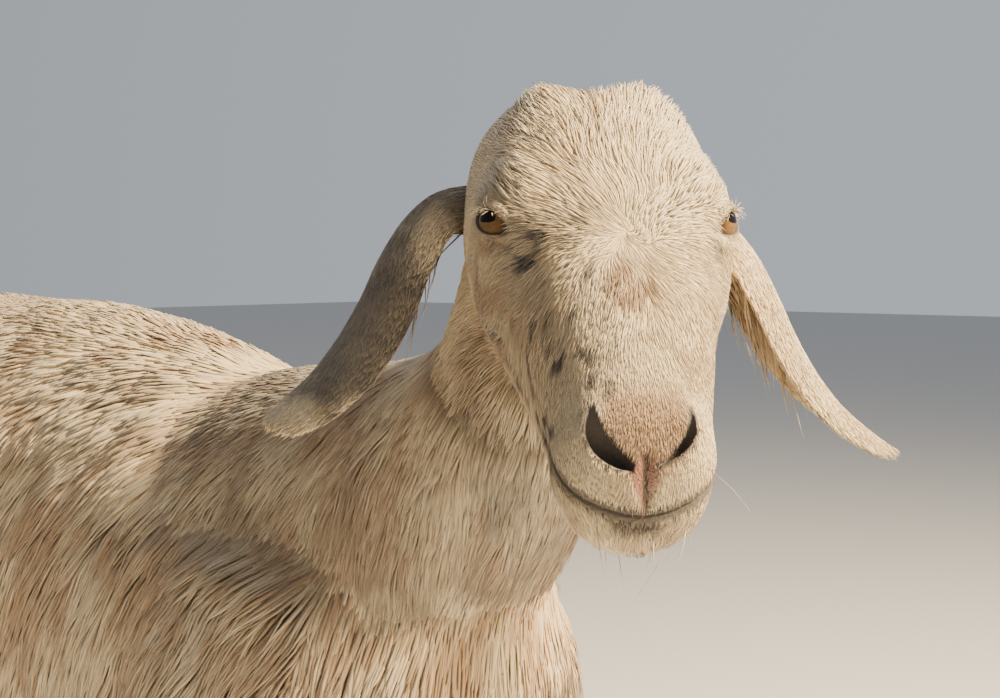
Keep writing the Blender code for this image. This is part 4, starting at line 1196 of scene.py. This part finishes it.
def fine_ear(side):
    """One ear's skin, with how far along it each point is and whether it lies inside the curl."""
    rows = smooth_rows(EARS[side], EAR_ROWS)
    made = ear_loft(side, rows)
    per_ring = 2 * (EAR_STEPS + 1)
    index = np.arange(len(made.data.vertices))
    along = np.clip(index // per_ring / (len(rows) - 1), 0, 1)
    inside = ((index % per_ring) > EAR_STEPS).astype(float)
    along[-2:] = (0, 1)
    points = positions(made.data)
    deep = ramp(0.60 - along, 0.0, 0.40)
    pink = deep * (0.45 + 0.35 * noise(points, 0.012, 41))
    # Inside the curl: brownish skin, darker towards the root as painted shade in the ear's cup, and pink deep
    # in.
    inner = np.column_stack((np.full(len(points), 0.2), 0.30 + 0.40 * deep, pink))
    made.data.shade_smooth()
    outer = ear_tones(points, ear_spine(side)[0], side)
    marked(made.data, outer * (1 - inside)[:, None] + inner * inside[:, None])
    return made, along, inside


def ear_coat(name, obj, side, along, inside, rng):
    """Short hair over the back of an ear, and long pale hairs that hang across its mouth."""
    ground = Ground(obj, along, inside)
    along, inside = ground.flags
    path, tangents = ear_spine(side)
    furred = np.minimum((inside < 0.4) + ramp(along, 0.50, 0.75), 1)
    roots = ground.scatter(EAR_HAIRS, furred, rng)
    places, normals, _ = roots
    lies = laid(tangents[nearest_rows(places, path)], normals)
    sizes = varied(rng, len(places), (0.0046, 0.7, 1.25), (0.0013, 0.8, 1.2), (0.08, 0.6, 1.4))
    pieces = grow(name, roots, lies, sizes, 2, 0.2, rng, ear_tones(places, path, side), 0.25)

    wanted = (inside > 0.6) * ramp(along, 0.02, 0.10) * ramp(0.62 - along, 0, 0.3)
    roots = ground.scatter(EAR_INNER_HAIRS, wanted, rng)
    places, normals, _ = roots
    count = len(places)
    lies = tangents[nearest_rows(places, path)] * 0.9 + np.array((0, 0, -0.35))
    lies = laid(lies + (rng.random((count, 3)) - 0.5) * 0.6, normals)
    sizes = varied(rng, count, (0.026, 0.6, 1.3), (0.0011, 0.7, 1.2), (0.42, 0.5, 1.3))
    dark = ramp(noise(places, 0.004, 46), 0.25, 0.60)
    marks = np.column_stack((0.10 + 0.40 * dark, 0.05 + 0.45 * dark, np.zeros(count)))
    return pieces + grow(name + "_inner", roots, lies, sizes, 2, 0.25, rng, marks, 0.3)


def bare(points, local):
    """True where no hair grows: round and in the eyes, the nostrils and the mouth."""
    out = mouth_distance(local) < MOUTH_BARE
    for side in SIDES.values():
        eye = in_frame(points, eye_matrix(side))
        slit = (eye[:, 0] / (LIDS_LENGTH / 2)) ** 2 + (eye[:, 1] / (LIDS_HEIGHT / 2)) ** 2
        out |= (slit < LIDS_BARE) & (eye[:, 2] > 0)
        out |= np.linalg.norm(eye, axis=1) < EYE_RADIUS + LID_REACH
        out |= nostril_distance(local, side) < NOSTRIL_BARE
    return out


def face_length(local):
    """The length of the face's hair, in metres, from its place in the head's frame."""
    ahead, _, up = local.T
    long = np.full(len(local), 0.0078)
    long += 0.0080 * ramp(up, 2.0, 4.5) * ramp(4.0 - ahead, 0, 5.0)
    long += 0.0080 * ramp(up, 2.0, 4.5) * ramp(-ahead, 3.0, 7.0)
    long += 0.0080 * ramp(-up, 2.5, 6.5) * ramp(9.0 - ahead, 0, 6.0)
    long += 0.0040 * ramp(-up, 3.2, 4.6) * ramp(ahead, 9.0, 11.5)
    long -= 0.0050 * ramp(ahead, 7.0, 11.5) * ramp(up, -2.5, -0.5)
    long -= 0.0020 * spot(local, WHORL, 2.0)
    for side in SIDES.values():
        long -= 0.0035 * spot(local, (1.0, side * 5.6, 2.6), 2.0)
    return np.maximum(long, 0.0027)


def body_share(points):
    """The share of its full length that the trunk's hair has: less on the thighs, belly and breast."""
    x, y, z = points.T
    limb = ramp(np.abs(x), 0.02, 0.05) * np.maximum(ramp(0.06 - y, 0.0, 0.05), ramp(y, 0.40, 0.45))
    low = ramp(0.56 - z, 0.0, 0.14)
    breast = ramp(0.12 + past_withers(points), 0.0, 0.12)
    return (1 - 0.25 * low) * (1 - 0.50 * limb * low) * (1 - 0.22 * breast)


def hair_lengths(region, places, full):
    """How long the hair of a region is at each place, before chance."""
    up = places[:, 2]
    if region == "face":
        return face_length(to_head(places))
    if region == "body":
        return full * body_share(places)
    if region == "neck":
        return full * (1 - 0.35 * ramp(past_throat(places), -0.10, 0.0))
    if region == "legs":
        return full * (0.55 + 0.9 * ramp(up, 0.20, 0.42) + 0.45 * ramp(0.062 - up, 0.0, 0.015))
    return np.full(len(places), full)


def regions(points):
    """How much each region of the coat claims a point."""
    x, y, z = np.abs(points[:, 0]), points[:, 1], points[:, 2]
    ragged = 0.05 * (noise(points, 0.03, 55) - 0.5)
    face = (past_throat(points) > -0.002) * 1.0
    neck_part = (1 - face) * ramp(past_withers(points) + ragged, -0.045, 0.045)
    tail_part = (1 - face) * ((y > TAIL_BACK) & (z > 0.665) & (x < 0.06))
    limb = (x > LEG_INSIDE) & ((y < FORELEG_BACK) | (y > HINDLEG_BACK))
    legs = (1 - face) * limb * ramp(0.425 + ragged - z, -0.02, 0.03)
    body = (1 - face) * (1 - neck_part) * (1 - tail_part) * (1 - legs)
    return {"face": face, "neck": neck_part, "tail": tail_part, "legs": legs, "body": body}


def coat(obj):
    """The tufts of the whole skin, region by region."""
    ground = Ground(obj)
    middles = ground.middles
    local = to_head(middles)
    hairless = bare(middles, local) | (markings(middles)[:, 2] > 0.5)
    densities = regions(middles)
    densities["face"] = densities["face"] * ~hairless / face_length(local) ** 0.75
    densities["neck"] = densities["neck"] * (past_throat(middles) < 0.002)
    pieces = []
    for number, (name, (count, length, width, lift, rings, draw)) in enumerate(COAT.items()):
        rng = np.random.default_rng(SEED + number)
        roots = ground.scatter(count, densities[name], rng)
        places, normals, _ = roots
        lengths = hair_lengths(name, places, length) * (0.80 + 0.40 * noise(places, 0.05, 50))
        lengths = lengths * rng.uniform(0.75, 1.20, count)
        widths = width * rng.uniform(0.75, 1.25, count)
        lifts = lift * (0.75 + 0.5 * noise(places, 0.03, 51)) * rng.uniform(0.8, 1.2, count)
        if name == "face":
            widths = widths * np.clip(lengths / 0.009, 0.7, 1.3)
            lifts = lifts * (1 + 0.45 * ramp(lengths, 0.009, 0.020))
        if name == "legs":
            lifts = lifts * (1 + 3.0 * ramp(0.058 - places[:, 2], 0.0, 0.015))
        lies = hair_lie(places, normals)
        pieces += grow("coat_" + name, roots, lies, (lengths, widths, lifts), rings, draw, rng)
    return pieces


def whiskers(ground, rng):
    """Sparse long pale hairs round the lips and the chin."""
    local = to_head(ground.middles)
    wanted = ramp(local[:, 0], 10.5, 12.5) * ramp(-0.2 - local[:, 2], 0.0, 1.5) * ~bare(ground.middles, local)
    wanted = wanted * (markings(ground.middles)[:, 2] < 0.4)
    roots = ground.scatter(WHISKERS, wanted, rng)
    places, normals, _ = roots
    lies = hair_lie(places, normals) * 0.5 + np.array((0, 0, -0.8)) + (rng.random((WHISKERS, 3)) - 0.5) * 0.7
    lengths, lifts = varied(rng, WHISKERS, (1, 0.014, 0.036), (1, 0.6, 1.2))
    sizes = (lengths, np.full(WHISKERS, 0.0007), lifts)
    pale = np.tile((0.05, 0.0, 0.0), (WHISKERS, 1))
    return grow("whiskers", roots, laid(lies, normals), sizes, 3, 0, rng, pale, 1.2)


def eyeball(side):
    """A fine eyeball whose own frame looks along +Z, with its slit level along X."""
    matrix = eye_matrix(side)
    axis = matrix.to_3x3().col[2].normalized()
    level = UP.cross(axis).normalized()
    mesh = bmesh.new()
    bmesh.ops.create_uvsphere(mesh, u_segments=64, v_segments=48, radius=EYE_RADIUS)
    for vert in mesh.verts:
        height = max(0.0, vert.co.z / EYE_RADIUS - CORNEA_EDGE) / (1 - CORNEA_EDGE)
        vert.co += vert.co.normalized() * CORNEA * height * height * (3 - 2 * height)
    made = mesh_object("eyeball_" + SIDE_NAMES[side], mesh)
    made.data.shade_smooth()
    made.matrix_world = matrix_of(level, axis.cross(level), axis, matrix.translation)
    return made


def lids(side):
    """The lids as a shell over the eyeball, each vertex's ring, and the opening's edge with its unwrap."""
    matrix = eye_matrix(side)
    mesh = bmesh.new()
    rows = []
    for scale, lift in LID_RINGS:
        ring = []
        grown_by = max(0.0, scale - 1) * LIDS_HEIGHT / 2
        radius = EYE_RADIUS + lift
        for k in range(LID_STEPS):
            x, y = almond(k, LID_STEPS, LID_LONG, LID_HIGH)
            size = max(1e-6, (x * x + y * y) ** 0.5)
            spread = min(size * min(scale, 1.0) + grown_by, EYE_RADIUS * SHELL_LIMIT)
            height = (radius * radius - spread * spread) ** 0.5
            ring.append(mesh.verts.new(matrix @ Vector((x / size * spread, y / size * spread, height))))
        rows.append(ring)
    strips(mesh, rows)
    bmesh.ops.recalc_face_normals(mesh, faces=mesh.faces)
    if sum(face.normal.dot(face.calc_center_median() - matrix.translation) for face in mesh.faces) < 0:
        bmesh.ops.reverse_faces(mesh, faces=mesh.faces)
    made = mesh_object("lids_" + SIDE_NAMES[side], mesh)
    data = made.data
    data.shade_smooth()
    ring = np.repeat(np.arange(len(LID_RINGS)), LID_STEPS)
    umber = np.interp(ring, (0, 2, 3, 4, 6), (1.0, 1.0, 0.7, 0.35, 0.15))
    marked(data, np.column_stack((umber * 0.2 + 0.1, umber, np.zeros(len(ring)))))
    unwrapped(made)
    uv = np.zeros((len(data.vertices), 2))
    uv[rows_of(data.loops, "vertex_index", 1, np.int32)[:, 0]] = unwrap_of(data)
    rim = slice(LID_EDGE * LID_STEPS, (LID_EDGE + 1) * LID_STEPS)
    return made, ring, positions(data)[rim], uv[rim]


def lid_hair(name, made, ring, rng):
    """Short hair on the lids."""
    ground = Ground(made, ring.astype(float))
    roots = ground.scatter(LID_HAIRS, ramp(ground.flags[0], 2.8, 4.2), rng)
    lies = hair_lie(*roots[:2])
    lengths = 0.0022 * rng.uniform(0.7, 1.2, LID_HAIRS)
    sizes = (lengths, np.full(LID_HAIRS, 0.0007), np.full(LID_HAIRS, 0.08))
    return grow(name, roots, lies, sizes, 2, 0.2, rng)


def lashes(side, rim, rim_uv, rng):
    """Pale lashes along the upper lid."""
    axis = np.array(eye_matrix(side).to_3x3().col[2].normalized())
    out = unit(rim - rim.mean(0))
    rows = rng.choice(np.flatnonzero(out[:, 2] > 0.25), LASHES)
    out = out[rows]
    places = rim[rows] + rng.normal(0, 0.0006, (LASHES, 3))
    normals = unit(np.tile(axis, (LASHES, 1)) * 0.9 + out * 0.5)
    lies = out * 0.7 + axis * 0.1 + np.array((0, 0, -0.55)) + rng.normal(0, 0.15, (LASHES, 3))
    lengths, lifts = varied(rng, LASHES, (1, 0.005, 0.009), (1, 0.6, 1.0))
    sizes = (lengths, np.full(LASHES, 0.0005), lifts)
    roots, pale = (places, normals, rim_uv[rows]), np.zeros((LASHES, 3))
    return grow("lashes_" + SIDE_NAMES[side], roots, laid(lies, normals), sizes, 3, 0, rng, pale, 0.1)


def filled(tree, made, values):
    """The node with its properties and inputs set; an input may be a value or another node's output."""
    for key, value in values.items():
        name = key.replace("_", " ")
        socket = made.inputs[int(key[2:])] if key.startswith("in") else made.inputs.get(name)
        if socket is None:
            setattr(made, key, value)
        elif isinstance(value, bpy.types.NodeSocket):
            tree.links.new(value, socket)
        else:
            socket.default_value = value
    return made


def node(tree, kind, **values):
    """The outputs of a new node."""
    return filled(tree, tree.nodes.new("ShaderNode" + kind), values).outputs


class Look:
    """A material with its shader, and short ways to add nodes; most return the one output that is used."""

    def __init__(self, name, roughness, **values):
        self.material = bpy.data.materials.new(name)
        self.material.use_nodes = True
        self.tree = self.material.node_tree
        self.shade(Roughness=roughness, **values)

    def shade(self, **values):
        """Sets inputs of the shader."""
        filled(self.tree, self.tree.nodes["Principled BSDF"], values)

    def node(self, kind, **values):
        return node(self.tree, kind, **values)

    def place(self):
        return self.node("TexCoord")["Object"]

    def stored(self, name):
        """A number stored on the mesh."""
        return self.node("Attribute", attribute_name=name)["Fac"]

    def noise(self, scale, detail=2.0):
        return self.node("TexNoise", Vector=self.place(), Scale=scale, Detail=detail)["Fac"]

    def cells(self, scale):
        return self.node("TexVoronoi", Vector=self.place(), Scale=scale)["Distance"]

    def math(self, operation, a, b=0.5):
        return self.node("Math", operation=operation, in0=a, in1=b)[0]

    def times(self, a, b):
        return self.math("MULTIPLY", a, b)

    def span(self, value, low, high, start=0.0, end=1.0):
        """The value brought from between start and end to between low and high."""
        return self.node("MapRange", Value=value, From_Min=start, From_Max=end, To_Min=low, To_Max=high)[0]

    def mix(self, factor, a, b, blend="MIX"):
        """A mix of two colours."""
        a, b = (colour if isinstance(colour, bpy.types.NodeSocket) else (*colour, 1) for colour in (a, b))
        return self.node("Mix", data_type="RGBA", blend_type=blend, in0=factor, in6=a, in7=b)[2]

    def bump(self, height, strength, distance):
        """Gives the shader that relief."""
        self.shade(Normal=self.node("Bump", Strength=strength, Distance=distance, Height=height)[0])


def coat_colours(look, root_light):
    """The coat's colour from the stored markings, with painted shade darker towards the roots, and how bare
    the skin is.
    """
    marks = look.node("Attribute", attribute_name="marks")
    shares = look.node("SeparateColor", Color=marks["Color"])
    along = look.stored("along")
    colour = look.mix(look.times(along, 0.75), CREAM, WHITE)
    layers = ((look.noise(38.0, 3.0), 0.20, TAN), (shares["Red"], 0.80, TAN), (shares["Green"], 0.95, UMBER))
    for share, most, tint in layers:
        colour = look.mix(look.times(share, most), colour, tint)
    colour = look.mix(shares["Blue"], colour, PINK)
    strand = look.stored("strand")
    hairs = look.node("TexNoise", noise_dimensions="1D", W=strand, Scale=1.0, Detail=1.0)["Fac"]
    # Each tuft's tone varies at random, and it is darker towards its root: painted shade deep in the coat.
    light = look.times(look.span(marks["Alpha"], root_light, 1.08), look.span(along, 0.90, 1.0, 0.0, 0.5))
    light = look.times(light, look.span(hairs, 0.78, 1.10, 0.30, 0.68))
    light = look.times(light, look.span(look.noise(240.0), 0.90, 1.10))
    grey = look.node("CombineColor", Red=light, Green=light, Blue=light)[0]
    return look.mix(1.0, colour, grey, "MULTIPLY"), shares["Blue"]


def coat_material():
    """Hair: pale, softly shining, in the stored markings."""
    look = Look("coat_hair", 0.52, Specular_IOR_Level=0.35, Sheen_Weight=0.15)
    look.shade(Base_Color=coat_colours(look, 0.80)[0])
    return look.material


def skin_material(name, wet):
    """The skin under the hair: short fur in bump, and bare skin where the markings say pink."""
    look = Look(name, 0.7)
    # The skin takes the colour of the hairs' roots, painted shade included.
    colour, bare_share = coat_colours(look, 0.86)
    relief = look.node("Mix", data_type="FLOAT", in0=bare_share, in2=look.noise(620.0), in3=look.cells(900.0))
    look.bump(relief[0], 0.55, 0.0012)
    look.shade(Base_Color=colour, Roughness=look.span(bare_share, 0.72, wet))
    return look.material


def eye_material():
    """Amber iris with a dark level slit, a dark ring round it, and a clear wet front."""
    look = Look("eye_amber", 0.08, Specular_IOR_Level=0.08)
    place = look.node("SeparateXYZ", Vector=look.place())
    raised = look.math("SUBTRACT", place["Y"], PUPIL_UP)
    powers = []
    for value, size in ((place["X"], PUPIL_LENGTH), (raised, PUPIL_HEIGHT)):
        powers.append(look.math("POWER", look.math("ABSOLUTE", look.times(value, 1 / size)), 4.0))
    reach = look.math("ADD", look.math("ADD", *powers), look.span(look.noise(700.0), -0.12, 0.12))
    flat = look.node("CombineXYZ", X=place["X"], Y=raised)[0]
    distance = look.node("VectorMath", operation="LENGTH", in0=flat)["Value"]
    iris = look.mix(look.noise(420.0, 4.0), IRIS_DARK, IRIS_PALE)
    iris = look.mix(look.span(distance, 0.0, 1.0, 0.0078, 0.0112), iris, IRIS_RIM)
    look.shade(Base_Color=look.mix(look.span(reach, 0.0, 1.0, 1.15, 0.85), iris, PUPIL_BLACK))
    return look.material


def hoof_material():
    """Horn: brown and grey with fine growth rings and a dull shine."""
    look = Look("horn", 0.46)
    flat = look.node("Mapping", Vector=look.place(), Scale=(0.15, 0.15, 1.0))[0]
    rings = look.node("TexNoise", Vector=flat, Scale=330.0, Detail=2.0)["Fac"]
    look.shade(Base_Color=look.mix(rings, look.mix(look.noise(55.0, 4.0), HORN_DARK, HORN_PALE), HORN_RINGS))
    look.bump(rings, 0.45, 0.0009)
    return look.material


def udder_material():
    """Pink, finely wrinkled bare skin."""
    look = Look("udder_hide", 0.58)
    look.shade(Base_Color=look.mix(look.noise(30.0, 4.0), UDDER_DARK, UDDER_PALE))
    look.bump(look.cells(420.0), 0.35, 0.0008)
    return look.material


def aimed(obj, place, direction):
    """Puts a camera or light in its place, looking in that direction."""
    obj.location = place
    obj.rotation_mode = "QUATERNION"
    obj.rotation_quaternion = direction.to_track_quat("-Z", "Y")


def camera(shift):
    """The photograph's camera, a little above the goat's eyes; gives the directions ahead and right of it."""
    ahead = Vector((sin(VIEW), cos(VIEW), 0))
    right = Vector((ahead.y, -ahead.x, 0))
    place = Vector((HEAD_POINT.x, HEAD_POINT.y, 0)) - ahead * CAMERA_AWAY - right * CAMERA_LEFT
    place.z = CAMERA_HEIGHT
    dip = atan2(HORIZON_PIXELS, FOCAL_PIXELS)
    made = placed("camera", bpy.data.cameras.new("camera"))
    aimed(made, place + shift, ahead * cos(dip) - UP * sin(dip))
    made.data.lens = LENS
    made.data.sensor_width = SENSOR
    made.data.clip_start = 0.01
    bpy.context.scene.camera = made
    return ahead, right


def studio(shift, ahead, right):
    """A pale floor, a pale surround, a warm soft key from the camera's right and a cooler fill."""
    head_at = HEAD_POINT + shift
    for name, ((to_right, to_front, to_top), size, power, colour) in LIGHTS.items():
        data = bpy.data.lights.new(name, "AREA")
        data.size = size
        data.energy = power
        data.color = colour
        place = head_at + right * to_right + ahead * to_front + UP * to_top
        aimed(placed(name, data), place, (head_at + ahead * 0.25 - UP * 0.15) - place)
    world = bpy.data.worlds.new("surround")
    world.use_nodes = True
    tree = world.node_tree
    bright_side = (ahead + right * 0.6).normalized()
    generated = node(tree, "TexCoord")["Generated"]
    facing = node(tree, "VectorMath", operation="DOT_PRODUCT", in0=generated, in1=bright_side)["Value"]
    strength = node(tree, "MapRange", Value=facing, From_Min=-1, To_Min=SKY_DIM, To_Max=SKY_BRIGHT)[0]
    filled(tree, tree.nodes["Background"], {"Color": (*SKY, 1), "Strength": strength})
    bpy.context.scene.world = world
    mesh = bmesh.new()
    bmesh.ops.create_grid(mesh, x_segments=1, y_segments=1, size=FLOOR_SIZE)
    floor = mesh_object("floor", mesh)
    floor.data.materials.append(Look("floor_pale", 0.85, Base_Color=(*FLOOR, 1)).material)


def carried(piece, shift, material, nodes=()):
    """Finishes a piece: into the fixed frame, with its material, riding on the one body."""
    if piece.matrix_world == Matrix.Identity(4):
        piece.data.transform(Matrix.Translation(shift))
    else:
        piece.matrix_world = Matrix.Translation(shift) @ piece.matrix_world
    piece.data.materials.clear()
    piece.data.materials.append(material)
    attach(piece, "root")
    if nodes:
        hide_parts(*nodes)


def main():
    low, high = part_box("eye_right")
    shift = (Vector(low) + Vector(high)) / 2 - eye_matrix(-1).translation
    studio(shift, *camera(shift))

    hair = coat_material()
    hide, ear_hide = skin_material("skin", 0.34), skin_material("ear_skin", 0.62)
    amber, horn, bag_hide = eye_material(), hoof_material(), udder_material()

    body = skin()
    unwrapped(body)
    marked(body.data, markings(positions(body.data)))
    body.data.shade_smooth()
    pieces = coat(body)
    rng = np.random.default_rng(SEED + 90)
    pieces += whiskers(Ground(body), rng)
    for side_name, side in SIDES.items():
        shell, ring, rim, rim_uv = lids(side)
        pieces += lid_hair(f"lid_hair_{side_name}", shell, ring, rng)
        pieces += lashes(side, rim, rim_uv, rng)
        carried(shell, shift, hide)
        carried(eyeball(side), shift, amber, (f"eye_{side_name}",))
        flap, along, inside = fine_ear(side)
        unwrapped(flap)
        pieces += ear_coat(f"ear_hair_{side_name}", flap, side, along, inside, rng)
        flap.name = f"ear_skin_{side_name}"
        carried(flap, shift, ear_hide, (f"ear_{side_name}",))
        for where, rows, steps in (("front", FORELEG, FORE_STEP), ("hind", HINDLEG, HIND_STEP)):
            foot = hoof(f"horn_{where}_{side_name}", rows, side, steps[side])
            carried(foot, shift, horn, (f"hoof_{where}_{side_name}",))
    carried(udder(), shift, bag_hide, ("udder",))
    for piece in pieces:
        carried(piece, shift, hair)
    legs = [f"leg_{where}_{side}" for where in ("front", "hind") for side in SIDES]
    carried(body, shift, hide, ("head", "neck", "torso", "tail", *legs))


main()
